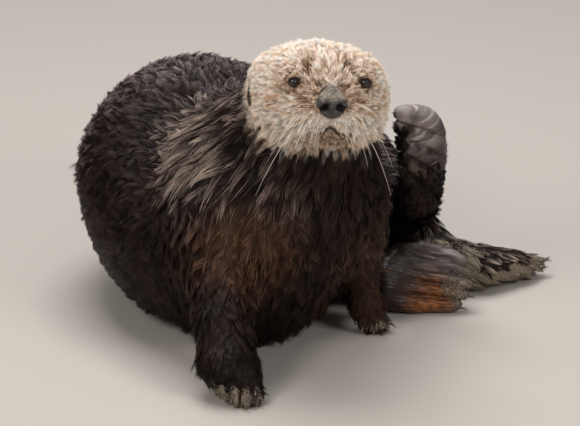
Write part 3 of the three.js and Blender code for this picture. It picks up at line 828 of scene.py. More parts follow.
def worn_and_lit_mask(places):
    """Paler, drier skin on the raised foot's outer toes and the ridge of the lying foot, partly painted light
    on these upper surfaces.
    """
    raised = ball_mask(places, beside("left_hind_foot", 0, -10, 64), 44, 0.6)
    lying = 0.55 * ball_mask(places, beside("right_hind_foot", 15, -15, 30), 34, 0.6)
    return np.clip(raised + lying, 0, 1)


def give_markings(piece, values):
    """Stores each mask as a named value on every point of the piece."""
    for name, mask in values.items():
        layer = piece.data.attributes.new(name, "FLOAT", "POINT")
        layer.data.foreach_set("value", mask.astype(np.float32))


give_markings(skin, markings(points_of(skin)))
print("masks:", ", ".join(markings(points_of(skin)[:1])))


# %% [markdown]
# ## Building with nodes
# A material is a small network. These helpers put a node in place, set or wire its inputs and hand back an
# output, so that each recipe below reads from top to bottom.

# %% Node helpers
def put(tree, kind, inputs=None, **settings):
    """A new node. An input is set to a value, or wired if it is given another node's output."""
    node = tree.nodes.new(kind)
    for key, value in settings.items():
        setattr(node, key, value)
    for key, value in (inputs or {}).items():
        if isinstance(value, bpy.types.NodeSocket):
            tree.links.new(value, node.inputs[key])
        else:
            node.inputs[key].default_value = value
    return node


def mask_of(tree, name):
    """A value that the mesh carries on its points."""
    return put(tree, "ShaderNodeAttribute", attribute_name=name).outputs["Fac"]


def mix(tree, share, first, second):
    """Two colours mixed by a share from 0 to 1."""
    colours = [c if isinstance(c, bpy.types.NodeSocket) else (*c, 1) for c in (first, second)]
    inputs = {0: share, 6: colours[0], 7: colours[1]}
    return put(tree, "ShaderNodeMix", inputs, data_type="RGBA", blend_type="MIX").outputs[2]


def reckon(tree, operation, first, second, third=0.0, clamp=False):
    """A sum with numbers. Only MULTIPLY_ADD, which is first x second + third, uses the third one."""
    inputs = {0: first, 1: second, 2: third}
    return put(tree, "ShaderNodeMath", inputs, operation=operation, use_clamp=clamp).outputs[0]


def times(tree, first, second):
    return reckon(tree, "MULTIPLY", first, second)


def step_between(tree, value, low, high):
    """0 below low and 1 above high, softly."""
    inputs = {"Value": value, "From Min": low, "From Max": high}
    return put(tree, "ShaderNodeMapRange", inputs, interpolation_type="SMOOTHSTEP").outputs["Result"]


def noise(tree, scale, detail, where=None):
    """Cloudy noise from 0 to 1. It runs over the object's own places, unless it is given others."""
    where = where or put(tree, "ShaderNodeTexCoord").outputs["Object"]
    return put(tree, "ShaderNodeTexNoise", {"Vector": where, "Scale": scale, "Detail": detail}).outputs["Fac"]


def new_group(name, inputs, outputs):
    """A node group with named sockets. Returns it, what it is given and what it puts out."""
    group = bpy.data.node_groups.new(name, "ShaderNodeTree")
    for direction, sockets in (("INPUT", inputs), ("OUTPUT", outputs)):
        for socket, kind in sockets.items():
            group.interface.new_socket(socket, in_out=direction, socket_type="NodeSocket" + kind)
    return group, group.nodes.new("NodeGroupInput").outputs, group.nodes.new("NodeGroupOutput").inputs


def use_group(tree, group, inputs):
    """Places a group in a material with values of its own, and hands back what it puts out."""
    return put(tree, "ShaderNodeGroup", inputs, node_tree=group).outputs


def add_bump(tree, shader, height, distance, strength):
    """Relief drawn by the light alone: the shader gets the normal of a surface with these heights."""
    inputs = {"Height": height, "Distance": distance, "Strength": strength}
    bump = put(tree, "ShaderNodeBump", inputs)
    tree.links.new(bump.outputs["Normal"], shader.inputs["Normal"])


# %% [markdown]
# ## The colour of the coat
# A hair of the head is brown at its root, tan along its length and cream at its tip. A wet hair of the body
# is nearly black, russet on the chest and forelegs. The lighter tips of some of its tufts are painted
# highlights: the plain shine of wet hair, the sky's sheen high on the back, tan glints on the locks of the
# shoulder and the tail and russet ones on russet hair, and painted shade puts them out low on the body. The
# group takes how far along the hair a point is and a chance number for each tuft, and reads the masks itself.
# The skin under the coat uses the same group at the root end.

# %% Coat colours
# in linear light: the body's hair, the painted highlights on its tips, and the head's hair
BLACK, BLACK_BROWN, RUSSET = (0.0050, 0.0026, 0.0021), (0.0165, 0.0086, 0.0062), (0.050, 0.021, 0.0105)
PLAIN_LIT_TIP, GLINT_TIP = (0.052, 0.031, 0.024), (0.95, 0.73, 0.59)
SKY_SHEEN_TIP, RUSSET_LIT_TIP = (0.37, 0.27, 0.285), (0.22, 0.110, 0.060)
BROWN, TAN, CREAM = (0.11, 0.062, 0.038), (0.79, 0.535, 0.350), (0.98, 0.895, 0.785)
HEAD_ROOT = (0.065, 0.036, 0.022)

coat_colour, given, out = new_group(
    "otter_coat_colour", {"Along": "Float", "Chance": "Float"}, {"Color": "Color", "Pale": "Float"}
)
tree = coat_colour  # the helpers put the nodes of this cell and the next two into it
pale, cream, brown, russet, sky_sheen, lock_glint, underside_shade = (
    mask_of(tree, name) for name in ("pale", "cream", "brown", "russet", "sky_sheen", "lock_glint", "underside_shade")
)
along, chance = given["Along"], given["Chance"]
patches = noise(tree, 28, 3)
blotches = noise(tree, 140, 2)
print("the coat colour group asks for", [socket.name for socket in given if socket.name])

# %% Body hair
dark = mix(tree, step_between(tree, patches, 0.35, 0.7), BLACK, BLACK_BROWN)
dark = mix(tree, times(tree, russet, 0.8), dark, RUSSET)
# painted highlight: tan glints on some tips of the shoulder's and the tail's locks
glint = times(tree, lock_glint, step_between(tree, chance, 0.44, 0.58))
tip = mix(tree, glint, PLAIN_LIT_TIP, GLINT_TIP)
# painted highlight: the sky's sheen on the tips high on the back
tip = mix(tree, times(tree, sky_sheen, 0.8), tip, SKY_SHEEN_TIP)
# painted highlight, russet on russet hair
tip = mix(tree, russet, tip, RUSSET_LIT_TIP)
# painted highlight: some tufts get lighter tips, for the shine of wet hair
lit_tuft = reckon(tree, "MAXIMUM", glint, step_between(tree, chance, 0.38, 0.72))
lit_tip = times(tree, lit_tuft, step_between(tree, along, 0.15, 0.9))
lit_tip = times(tree, lit_tip, reckon(tree, "MULTIPLY_ADD", underside_shade, -0.75, 1.0))  # painted shade: the tips' highlights fade low on the body
body_coat = mix(tree, lit_tip, dark, tip)
print("body hair:", len(tree.nodes), "nodes so far")

# %% Head hair
# how light a hair is: by its chance, by blotches over the head and by the markings
shade = times(tree, step_between(tree, chance, 0.15, 0.80), 1.25)
shade = reckon(tree, "ADD", shade, reckon(tree, "MULTIPLY_ADD", blotches, 1.2, -0.6))
shade = reckon(tree, "ADD", shade, reckon(tree, "MULTIPLY_ADD", cream, 0.55, 0.06))
shade = reckon(tree, "SUBTRACT", shade, times(tree, brown, 0.9))
hair = mix(tree, step_between(tree, shade, -0.20, 0.35), BROWN, TAN)
hair = mix(tree, step_between(tree, shade, 0.35, 1.15), hair, CREAM)
root = mix(tree, 0.68, hair, HEAD_ROOT)
face_coat = mix(tree, step_between(tree, along, 0.0, 0.85), root, hair)
tree.links.new(mix(tree, pale, body_coat, face_coat), out["Color"])
tree.links.new(pale, out["Pale"])
print("coat colour group:", len(tree.nodes), "nodes")

# %% [markdown]
# ## Wet sand
# Sand clings to the toes, the tail and the nose as grains that run together into a crust. The group takes how
# much of a surface is covered, how large the grains are, in metres, and how dry the sand is, for dry sand is
# paler. It hands back where the grains are, their colour and their height.

# %% Sand group
WET_SAND = ((0.050, 0.036, 0.025), (0.235, 0.180, 0.125))  # its dark and its pale grains
DRY_SAND = ((0.16, 0.125, 0.085), (0.56, 0.48, 0.37))

sand_dust, given, out = new_group(
    "clinging_sand", {"Cover": "Float", "Grain Size": "Float", "Dry": "Float"},
    {"Mask": "Float", "Color": "Color", "Height": "Float"},
)
tree = sand_dust
scale = reckon(tree, "DIVIDE", 1.0, given["Grain Size"])
grains = noise(tree, scale, 3)
clumps = noise(tree, times(tree, scale, 0.13), 2)
heaped = reckon(tree, "ADD", times(tree, grains, 0.6), times(tree, clumps, 0.5))
level = reckon(tree, "MULTIPLY_ADD", given["Cover"], -0.62, 0.95)
above = reckon(tree, "SUBTRACT", heaped, level)  # grains show where they are heaped above the level
mask = put(tree, "ShaderNodeMapRange", {"Value": above, "From Min": 0.0, "From Max": 0.16}).outputs["Result"]
tree.links.new(mask, out["Mask"])
colour = mix(tree, given["Dry"], mix(tree, grains, *WET_SAND), mix(tree, grains, *DRY_SAND))
tree.links.new(colour, out["Color"])
tree.links.new(times(tree, mask, grains), out["Height"])
print("sand group:", len(tree.nodes), "nodes")

# %% [markdown]
# ## Bare skin of the feet
# The hind feet are bare: grey to purple-brown leather with creases that run along the toes, with painted
# shade in the creases and painted highlights in pale streaks. It is pale where it is worn dry and, on its
# upper toe and ridge, where light is painted on, orange-brown where the animal leans on it and rubs it, and
# nearly black towards the heel. The group takes each point's place across and along the foot, in mm, and how
# rubbed and how worn and lit it is there, and hands back the colour and the height of the creases. They fade
# on the tips of the toes.

# %% Bare foot group
CREASE_SHADE, LEATHER, WORN_AND_LIT_LEATHER = (0.014, 0.008, 0.007), (0.070, 0.042, 0.038), (0.50, 0.43, 0.405)
STREAK_HIGHLIGHT, BLOT, HEEL = (0.36, 0.285, 0.275), (0.075, 0.052, 0.045), (0.020, 0.011, 0.010)
RUBBED_DARK, RUBBED = (0.095, 0.030, 0.010), (0.36, 0.130, 0.038)

foot_skin, given, out = new_group(
    "bare_foot_skin", {"Across": "Float", "Along": "Float", "Ochre": "Float", "Worn And Lit": "Float"},
    {"Color": "Color", "Height": "Float"},
)
tree = foot_skin
across, along, ochre, worn_and_lit = (given[name] for name in ("Across", "Along", "Ochre", "Worn And Lit"))
stretched = put(tree, "ShaderNodeCombineXYZ", {"X": across, "Y": times(tree, along, 0.16)}).outputs["Vector"]
folds = noise(tree, 0.17, 3, stretched)
streaks = noise(tree, 0.60, 3, stretched)
blots = noise(tree, 34, 3)
near_tip = times(tree, step_between(tree, along, 34, 12), 0.75)
smooth = reckon(tree, "MAXIMUM", near_tip, times(tree, worn_and_lit, 0.45))
open_fold = reckon(tree, "MAXIMUM", step_between(tree, folds, 0.43, 0.60), smooth)
calm = reckon(tree, "MAXIMUM", near_tip, times(tree, worn_and_lit, 0.6))
# painted highlight: pale streaks stand for the shine of wet leather
highlight_streak = reckon(tree, "SUBTRACT", step_between(tree, streaks, 0.56, 0.74), calm, clamp=True)

# painted shade: the creases, where the relief is low, are painted near black
leather = mix(tree, open_fold, CREASE_SHADE, LEATHER)
# partly painted light: the upper toe and ridge are painted paler
leather = mix(tree, times(tree, worn_and_lit, open_fold), leather, WORN_AND_LIT_LEATHER)
leather = mix(tree, highlight_streak, leather, STREAK_HIGHLIGHT)
leather = mix(tree, step_between(tree, blots, 0.52, 0.32), leather, BLOT)
rubbed = mix(tree, step_between(tree, streaks, 0.35, 0.70), RUBBED_DARK, RUBBED)
leather = mix(tree, times(tree, ochre, step_between(tree, folds, 0.10, 0.56)), leather, rubbed)
leather = mix(tree, times(tree, step_between(tree, along, 44, 80), 0.85), leather, HEEL)
tree.links.new(leather, out["Color"])
relief = reckon(tree, "ADD", folds, times(tree, streaks, 0.4))
tree.links.new(times(tree, relief, reckon(tree, "SUBTRACT", 1.0, smooth)), out["Height"])
print("bare foot group:", len(tree.nodes), "nodes")

# %% [markdown]
# ## The coat's material
# The tufts take their colour from the group, and the sand lies over it. Every tuft carries the two values
# that the group asks for: the place along the hair and its chance. The wet body coat is smoother than the dry
# coat of the head, and neither shines much, because a hair is too thin to mirror anything.

# %% Coat material
SAND_ON_COAT = {"Grain Size": 0.0022, "Dry": 0.45}

coat_look, tree, shader = new_material("otter_coat")
coloured = use_group(tree, coat_colour, {"Along": mask_of(tree, "along"), "Chance": mask_of(tree, "chance")})
sanded = use_group(tree, sand_dust, {"Cover": mask_of(tree, "sand"), **SAND_ON_COAT})
tree.links.new(mix(tree, sanded["Mask"], coloured["Color"], sanded["Color"]), shader.inputs["Base Color"])
dryness = reckon(tree, "MAXIMUM", coloured["Pale"], sanded["Mask"])
tree.links.new(step_between(tree, dryness, -0.85, 1.35), shader.inputs["Roughness"])
shader.inputs["Specular IOR Level"].default_value = 0.17
shader.inputs["Specular Tint"].default_value = (1.0, 0.84, 0.80, 1)
print("coat material:", len(tree.nodes), "nodes")


# %% [markdown]
# ## Tufts
# Real fur is far too fine to model hair by hair. From a step away the eye sees tufts: hairs that water has
# drawn together into a point. Each tuft is a thin roof-shaped strip that tapers to its tip. Neighbouring
# tufts lean towards the middle of a shared clump, as wet fur does. All of a region's tufts are one joined
# mesh. Particle hair would be quicker to comb, but it isn't a solid that can be measured or exported.

# %% Where tufts stand
rng = np.random.default_rng(7)
skin_places, skin_normals = points_of(skin), normals_of(skin)
part = nearest_solid(skin_places)
near = neighbours_of(skin)
skin_faces = triangles_of(skin)
first, second, third = (skin_places[skin_faces[:, i]] for i in range(3))
face_areas = np.linalg.norm(np.cross(second - first, third - first), axis=1) / 2
skin_tree = BVHTree.FromPolygons(skin_places.tolist(), skin_faces.tolist())
combed = {name: spread(column(name)[part], near, 25) for name in COLUMNS[2:]}
print("skin to grow the coat on:", round(float(face_areas.sum()), 3), "square metres")

# %% [markdown]
# The table's rows are only the start. The low flank is sleek. The fur is short round the eyes, the nose, the
# mouth and the ears, and long on the cheeks. The locks of the shoulder that carry painted tan glints are
# longer and thinner than the hair round them and lie flatter.

# %% Finer differences
SLEEK = {"length": 13, "lift": 20, "gather": 0.60, "stray": 14}
trunk = np.isin(part, [FLESH.index(node) for node in ("ribs", "loin", "rump")]).astype(float)
sleek = spread(trunk, near, 25) * ease(0.16, 0.09, skin_places[:, 2])
for name, value in SLEEK.items():
    combed[name] += sleek * (value - combed[name])


def face_length(places):
    """How long the face's fur is, as a share of its length in the table, and where the cheek's fringe is."""
    forward, side, up = (in_head(places) / MM).T
    side = np.abs(side)
    eye = ease(7, 26, np.hypot(side - EYE_OUT / MM, up))
    muzzle = ease(12, 34, np.hypot(side, up + 30))
    front = ease(-45, -15, forward)
    cheek = ease(-34, -52, up) * ease(14, 34, side)
    share = 1 - front * (1 - (0.45 + 0.65 * np.minimum(eye, muzzle)))
    share = share * (0.5 + 0.5 * ease(1.0, 2.6, round_ear(in_head(places))))
    return share + cheek + 0.25 * ease(20, 40, up), cheek


on_head = spread((part == FLESH.index("head")).astype(float), near, 4)
share, cheek = face_length(skin_places)
combed["length"] *= 1 + on_head * (share - 1)
combed["droop"] += on_head * cheek * 0.45
combed["gather"] += on_head * cheek * 0.40
combed["clump"] += on_head * cheek * 2.0

skin_marks = markings(skin_places)
pale_coat = skin_marks["pale"]
strands = skin_marks["lock_glint"] * ease(60, 120, skin_places[:, 2] / MM)
combed["length"] *= 1 + 0.7 * strands
combed["width"] *= 1 - 0.34 * strands
combed["stray"] *= 1 - 0.5 * strands
combed["lift"] -= 12 * strands
lengths = combed["length"]
print("tufts from", round(lengths.min(), 1), "to", round(lengths.max(), 1), "mm long")

# %% [markdown]
# Tufts are strewn evenly, about one for each patch of skin as wide as their spacing there. The areas of the
# skin's triangles are laid end to end as one long line, and marks are set along it at even steps, each shaken
# a little. A triangle gets a tuft for every mark that falls on it.

# %% Strew the roots
def stand_on_skin(spacing, where):
    """The triangle of each root, and how near the root is to each of the triangle's corners."""
    spacing = spacing[skin_faces].mean(axis=1) * MM
    wanted = face_areas / spacing**2 * where[skin_faces].mean(axis=1)
    total = np.cumsum(wanted)
    marks = np.arange(0.5, total[-1]) + rng.uniform(-0.5, 0.5, int(math.ceil(total[-1] - 0.5)))
    chosen = np.searchsorted(total, np.clip(marks, 0, total[-1] * 0.999999))
    weights = rng.dirichlet((1, 1, 1), len(chosen))
    return chosen, weights


def at_roots(values, roots):
    """A value of the skin's points, blended at each root."""
    chosen, weights = roots
    corners = values[skin_faces[chosen]]
    return np.einsum("nc,nc...->n...", weights, corners)


roots = stand_on_skin(combed["spacing"], 1 - np.clip(bare_skin(skin_places), 0, 1))
print("tufts to grow:", len(roots[0]))


# %% [markdown]
# ## The path of each tuft
# A tuft rises from the skin at its lift, leans along the lie of the coat and bends back down, and the longer
# ones hang. The path is walked in a few steps, for all tufts at once. Then each tuft is drawn towards the
# path of the tuft in the middle of its clump, hardly at the root and most at the tip.

# %% Walk the paths
# where along its length a tuft of one, two or three rings has them; the last is its tip
STEPS = {1: np.array((0.0, 1.0)), 2: np.array((0.0, 0.5, 1.0)), 3: np.array((0.0, 0.36, 0.70, 1.0))}
ROOT_DEPTH = 0.6 * MM  # how far below the skin a tuft starts
UNDERFUR_SHARE = 0.72  # of all tufts
UNDERFUR_LENGTH = 0.82  # as a share of a guard hair's
UNDERFUR_PAINTED_SHADE = 0.35  # painted shade: how much darker the body's underfur, under the guard hairs, is than they are


def turned(way, normal, angle):
    """Directions on the skin turned about its normal."""
    side = np.cross(normal, way)
    return way * np.cos(angle)[:, None] + side * np.sin(angle)[:, None]


def walk(start, way, normal, length, lift, droop, steps):
    """The path of each tuft: one point for each step."""
    path = [start]
    for before, after in zip(steps[:-1], steps[1:]):
        t = (before + after) / 2
        rise = np.radians(lift) * (1 - 0.75 * t)
        heading = way * np.cos(rise)[:, None] + normal * np.sin(rise)[:, None]
        heading = unit(heading + (droop * t)[:, None] * np.array((0, 0, -1)))
        into_skin = np.minimum(np.sum(heading * normal, axis=1) - 0.04, 0)
        heading = unit(heading - normal * into_skin[:, None])
        path.append(path[-1] + heading * (length * (after - before))[:, None])
    return np.stack(path, axis=1)


print("rings of the tufts along their length:", {rings: list(steps[:-1]) for rings, steps in STEPS.items()})


# %% Grow tufts at roots
def uneven(count, spread_by):
    """A chance number round nought for each of so many tufts."""
    return rng.normal(0, spread_by, count)


def grow(roots, rings):
    """Paths, normals, widths and chances of the tufts at these roots, and which of them are underfur."""
    count, steps = len(roots[0]), STEPS[rings]
    start = at_roots(skin_places, roots)
    normal = unit(at_roots(skin_normals, roots))
    way = lay_flat(at_roots(lie, roots), normal)
    length = at_roots(combed["length"], roots) * MM * np.clip(1 + uneven(count, 0.16), 0.55, 1.5)
    under = rng.uniform(size=count) < UNDERFUR_SHARE
    length[under] *= UNDERFUR_LENGTH
    lift, droop = at_roots(combed["lift"], roots), at_roots(combed["droop"], roots)
    gather = at_roots(combed["gather"], roots)
    clump_width = at_roots(combed["clump"], roots)

    # the middle tuft of each clump: a sparse choice of the roots, one for each clump's own patch of skin
    share = (at_roots(combed["spacing"], roots) / clump_width) ** 2
    leads = np.flatnonzero(np.diff(np.floor(np.cumsum(share) + rng.uniform()), prepend=0) > 0)
    lead_tree = KDTree(len(leads))
    for i, lead in enumerate(leads):
        lead_tree.insert(start[lead], i)
    lead_tree.balance()
    clump = np.array([lead_tree.find(place)[1] for place in start.tolist()])
    under[leads] = False
    clump_turn, clump_lift = uneven(len(leads), 1.0), uneven(len(leads), 7.0)
    clump_size = np.clip(1 + uneven(len(leads), 0.20), 0.6, 1.5)

    stray = np.radians(at_roots(combed["stray"], roots))
    way = turned(way, normal, stray * (clump_turn[clump] + uneven(count, 0.35)))
    lift = np.clip(lift + clump_lift[clump] + uneven(count, 4.0), 4, 70)
    length = length * clump_size[clump]
    path = walk(start - normal * ROOT_DEPTH, way, normal, length, lift, droop, steps)
    lead_path = path[leads][clump]
    far = np.linalg.norm(start - start[leads][clump], axis=1) / (clump_width * MM)
    pull = gather * rng.uniform(0.6, 1.1, count) * (1 - ease(1.0, 1.8, far))
    path = path + (lead_path - path) * (pull[:, None] * steps**1.2)[:, :, None]
    width = at_roots(combed["width"], roots) * MM * np.clip(1 + uneven(count, 0.15), 0.6, 1.5)
    chance = 0.5 * rng.uniform(size=len(leads))[clump] + 0.5 * rng.uniform(size=count)
    # painted shade: the underfur's chance is lowered, which darkens it
    chance[under] *= 1 - UNDERFUR_PAINTED_SHADE * (1 - 0.4 * at_roots(pale_coat, roots)[under])
    return path, normal, width, chance, under


# %% [markdown]
# ## Tufts as a mesh
# Each ring of a tuft has three corners, left, ridge and right, and all meet at the tip. The tuft's bake map
# is a small patch at its root's place on the unwrapped skin.

# %% Make the strips
TAPER = {1: (1.0,), 2: (1.0, 0.72), 3: (1.0, 0.86, 0.52)}  # the width at each ring
RIDGE = 0.8  # how high a tuft's ridge is, as a share of half its width
PATCH = 0.003  # a tuft's patch on the bake map
LEAST_HAIR_HEIGHT = 0.6 * MM  # above the floor


def strip_faces(rings):
    """The triangles of one tuft."""
    faces = []
    for k in range(rings - 1):
        a, b = 3 * k, 3 * (k + 1)
        faces += [(a, a + 1, b + 1), (a, b + 1, b), (a + 1, a + 2, b + 2), (a + 1, b + 2, b + 1)]
    a, tip = 3 * (rings - 1), 3 * rings
    return np.array(faces + [(a, a + 1, tip), (a + 1, a + 2, tip)])


def make_tufts(name, path, normal, width, root_uv, marks, rings):
    """One joined mesh of tufts. path has one point more than there are rings."""
    count = len(path)
    corners = []
    for k in range(rings):
        along = unit(path[:, k + 1] - path[:, max(k - 1, 0)])
        side = unit(np.cross(normal, along))
        up = np.cross(along, side)
        half = (width * TAPER[rings][k] / 2)[:, None]
        corners += [path[:, k] - side * half, path[:, k] + up * half * RIDGE, path[:, k] + side * half]
    corners.append(path[:, -1])
    places = np.stack(corners, axis=1).reshape(-1, 3)
    places[:, 2] = np.maximum(places[:, 2], LEAST_HAIR_HEIGHT)
    per_tuft = 3 * rings + 1
    faces = strip_faces(rings)[None] + per_tuft * np.arange(count)[:, None, None]
    piece = new_object(name, places, faces.reshape(-1, 3))

    along = np.append(np.repeat(STEPS[rings][:rings], 3), 1.0)
    across = np.append(np.tile((0.0, 0.5, 1.0), rings), 0.5)
    patch = np.stack((across - 0.5, along - 0.5), axis=1) * PATCH
    uv = (root_uv[:, None] + patch[None]).reshape(-1, 2)
    bake = piece.data.uv_layers.new(name="OFBake")
    bake.data.foreach_set("uv", uv[faces.reshape(-1)].astype(np.float32).ravel())

    marks = {key: np.repeat(value, per_tuft) for key, value in marks.items()}
    marks["along"] = np.tile(along, count)
    give_markings(piece, marks)
    piece.data.materials.append(coat_look)
    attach(piece, "root")
    return piece


# %% [markdown]
# ## Growing the coat
# The coat is grown in pieces, two for each region of the body, so that none gets too heavy. Guard hairs bend
# over their length. The underfur between them is shorter and straight, which takes two triangles a tuft, and
# it is painted darker, for the shade under the guard hairs. A tuft belongs to the region that its root stands
# in.

# %% Grow the coat
REGIONS = {
    # the solids that each region's fur grows on, and how many rings its guard hairs have
    "head_left": (("head",), 2),
    "head_right": (("head",), 2),
    "neck": (("neck",), 3),
    "chest": (("chest",), 3),
    "ribs": (("ribs",), 2),
    "loin": (("loin",), 2),
    "rump": (("rump",), 2),
    "tail": (("tail_base", "tail_tip"), 3),
    "right_foreleg": (("right_upper_foreleg", "right_forearm", "right_forepaw"), 3),
    "left_foreleg": (("left_upper_foreleg", "left_forearm", "left_forepaw"), 3),
    "hindlegs": (("left_shank", "left_hind_foot", "right_shank", "right_hind_foot"), 3),
}
root_part = part[skin_faces[roots[0], 0]]
left_of_head = in_head(at_roots(skin_places, roots))[:, 1] > 0
for region, (nodes, rings) in REGIONS.items():
    chosen = np.isin(root_part, [FLESH.index(node) for node in nodes])
    if nodes == ("head",):
        chosen &= left_of_head == (region == "head_left")
    here = (roots[0][chosen], roots[1][chosen])
    path, normal, width, chance, under = grow(here, rings)
    marks = {**markings(at_roots(skin_places, here)), "chance": chance}
    uv = skin_uv(here)
    for name, kind, path_rings in (("guard_hair_", ~under, rings), ("underfur_", under, 1)):
        kind_path = path[kind] if path_rings > 1 else path[kind][:, [0, -1]]
        kind_marks = {key: value[kind] for key, value in marks.items()}
        tufts = make_tufts(
            name + region, kind_path, normal[kind], width[kind], uv[kind], kind_marks, path_rings
        )
        print(name + region, int(kind.sum()), "tufts,", len(tufts.data.polygons), "triangles")


# %% [markdown]
# ## Eyes
# The eyes are small, dark and wet. Each ball is a sphere with a low bulge for the clear front. A value stored
# on its points tells how far each lies from the middle of the pupil, and the material draws the pupil, the
# dark brown ring and the paler edge from it. The gloss does the rest.

# %% Eye material
eye_look, tree, shader = new_material("wet_eye")
from_pupil = mask_of(tree, "from_pupil")
streaks = noise(tree, 900, 2)
ring = mix(tree, streaks, (0.010, 0.0055, 0.0035), (0.030, 0.017, 0.010))
ring = mix(tree, step_between(tree, from_pupil, 0.22, 0.30), (0.0015, 0.0015, 0.0015), ring)
edge = mix(tree, streaks, (0.05, 0.035, 0.028), (0.12, 0.09, 0.075))
tree.links.new(mix(tree, step_between(tree, from_pupil, 0.58, 0.72), ring, edge), shader.inputs["Base Color"])
shader.inputs["Roughness"].default_value = 0.08
shader.inputs["Coat Weight"].default_value = 0.3
shader.inputs["Coat Roughness"].default_value = 0.03
print("eye material:", len(tree.nodes), "nodes")

# %% Eyes
CLEAR_FRONT = math.radians(38)  # how far from the pupil's middle the bulge reaches
BULGE = 0.07  # its height, as a share of the ball's radius
FROM_SIDE = math.radians(90)  # the value on the ball's points is 1 here


def make_eye(name, node):
    """A sphere with a raised front, in place of the eye's solid."""
    ball = bmesh.new()
    bmesh.ops.create_uvsphere(ball, u_segments=48, v_segments=32, radius=EYE_RADIUS)
    local = np.array([v.co[:] for v in ball.verts])  # the pole, its z, looks forward
    angle = np.arccos(np.clip(local[:, 2] / EYE_RADIUS, -1, 1))
    local *= (1 + BULGE * ease(CLEAR_FRONT, 0, angle))[:, None]
    places = middle(node) - head_forward * EYE_SUNK + local[:, [2, 0, 1]] @ HEAD_AXES
    for vert, place in zip(ball.verts, places):
        vert.co = place
    mesh = bpy.data.meshes.new(name)
    bmesh.ops.recalc_face_normals(ball, faces=ball.faces)
    ball.to_mesh(mesh)
    ball.free()
    mesh.shade_smooth()
    eye = bpy.data.objects.new(name, mesh)
    bpy.context.collection.objects.link(eye)
    give_markings(eye, {"from_pupil": angle / FROM_SIDE})
    mesh.materials.append(eye_look)
    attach(eye, "root")
    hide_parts(node)


make_eye("eyeball_left", "eye_left")
make_eye("eyeball_right", "eye_right")
print("eyes", round(2 * EYE_RADIUS / MM, 1), "mm across")

# %% [markdown]
# ## Nose
# The nose pad is bare, dark and pebbled: a shield that is widest at the nostrils and drawn to a point below.
# It is a round sheet of rings pulled to that outline. Its front is domed, each nostril is a pit that runs out
# to the wing as a slit, and a groove parts the lower half. Its sizes are in mm.

# %% Shape of the nose pad
NOSE_HALF_WIDTH = 16.4
NOSE_ABOVE, NOSE_BELOW = 20.5, 13.5  # how far it reaches above and below its widest line
NOSE_WIDEST = -3.5  # that line's height
NOSE_ROLL = 2.0  # how far the edge rolls in under the fur
NOSE_RINGS, NOSE_SPOKES = 44, 120
NOSTRIL = ((7.0, -4.8), (13.4, -7.2))  # the pit and the end of the slit, sideways and up


def nose_outline(angle):
    """Reach from the middle of the widest line, for each direction round it."""
    reach_up = np.where(np.sin(angle) > 0, NOSE_ABOVE, NOSE_BELOW)
    power = np.where(np.sin(angle) > 0, 1.65, 1.45)
    across = np.abs(np.cos(angle) / NOSE_HALF_WIDTH) ** power
    upright = np.abs(np.sin(angle) / reach_up) ** power
    return (across + upright) ** (-1 / power)


def to_line(side, up, start, end):
    """Distance of points on the nose's front to a short line."""
    along = np.array(end) - start
    t = np.clip(((side - start[0]) * along[0] + (up - start[1]) * along[1]) / (along @ along), 0, 1)
    return np.hypot(side - start[0] - t * along[0], up - start[1] - t * along[1]), t


def nose_front(side, up, rim):
    """How far forward the pad's front is, in mm, rim being 0 in its middle and 1 at its edge."""
    dome = 8.5 * (1 - rim**3.0) ** 0.55 - 0.20 * np.maximum(up, -4)
    far, t = to_line(np.abs(side), up, *NOSTRIL)
    nostril = 9.0 * np.exp(-((far / (3.4 - 1.9 * t)) ** 2)) * (1 - 0.55 * t)
    wing = 2.2 * np.exp(-(((np.abs(side) - 9.5) / 4.2) ** 2)) * np.exp(-(((up - 1.5) / 3.2) ** 2))
    parting = 1.5 * np.exp(-((side / 1.1) ** 2)) * ease(1, -4, up)
    return dome + wing - nostril - parting


def make_nose():
    """The pad's corners in the head's frame, from the middle of its widest line, and its triangles."""
    ring = np.linspace(0.01, 1, NOSE_RINGS)[:, None]
    angle = np.linspace(0, 2 * math.pi, NOSE_SPOKES, endpoint=False)[None]
    reach = nose_outline(angle)
    side = ring * reach * np.cos(angle)
    up = ring * reach * np.sin(angle) + NOSE_WIDEST
    forward = nose_front(side, up, np.broadcast_to(ring, side.shape))
    turned_in = ease(0.93, 1.0, ring) * NOSE_ROLL
    head = np.stack((forward - turned_in, side, up), axis=-1).reshape(-1, 3) * MM
    i, j = np.meshgrid(np.arange(NOSE_RINGS - 1), np.arange(NOSE_SPOKES), indexing="ij")
    a, b = i * NOSE_SPOKES + j, i * NOSE_SPOKES + (j + 1) % NOSE_SPOKES
    quads = np.stack((a, a + NOSE_SPOKES, b + NOSE_SPOKES, b), axis=-1).reshape(-1, 4)
    spoke = np.arange(NOSE_SPOKES)
    middle_fan = np.stack((spoke, (spoke + 1) % NOSE_SPOKES, np.full(NOSE_SPOKES, len(head))), axis=1)
    head = np.vstack((head, head[:NOSE_SPOKES].mean(axis=0)))
    return head, np.vstack((quads[:, :3], quads[:, [0, 2, 3]], middle_fan))


print("nose pad:", 2 * NOSE_HALF_WIDTH, "mm wide and", NOSE_ABOVE + NOSE_BELOW, "mm high")

# %% Make the nose pad
NOSE_BED = 17.5 * MM  # how far the pad's edge stands in front of the eyes' middles
NOSTRIL_SHADE_SLIT = ((7.0, -4.8), (12.0, -6.8))  # the part of the nostril painted black as shade, and kept clear of sand
head, triangles = make_nose()
head += (NOSE_BED, 0, nose_at[2])
nose = new_object("nose_leather", from_head(head), triangles)
side, up = (in_head(points_of(nose))[:, 1:] - (0, nose_at[2])).T / MM
in_nostril = 1 - ease(2.4, 4.2, to_line(np.abs(side), up, *NOSTRIL_SHADE_SLIT)[0])
give_markings(nose, {"dusty": ease(-12, 8, up) * (1 - in_nostril), "nostril": in_nostril})
print("nose:", len(nose.data.polygons), "triangles")

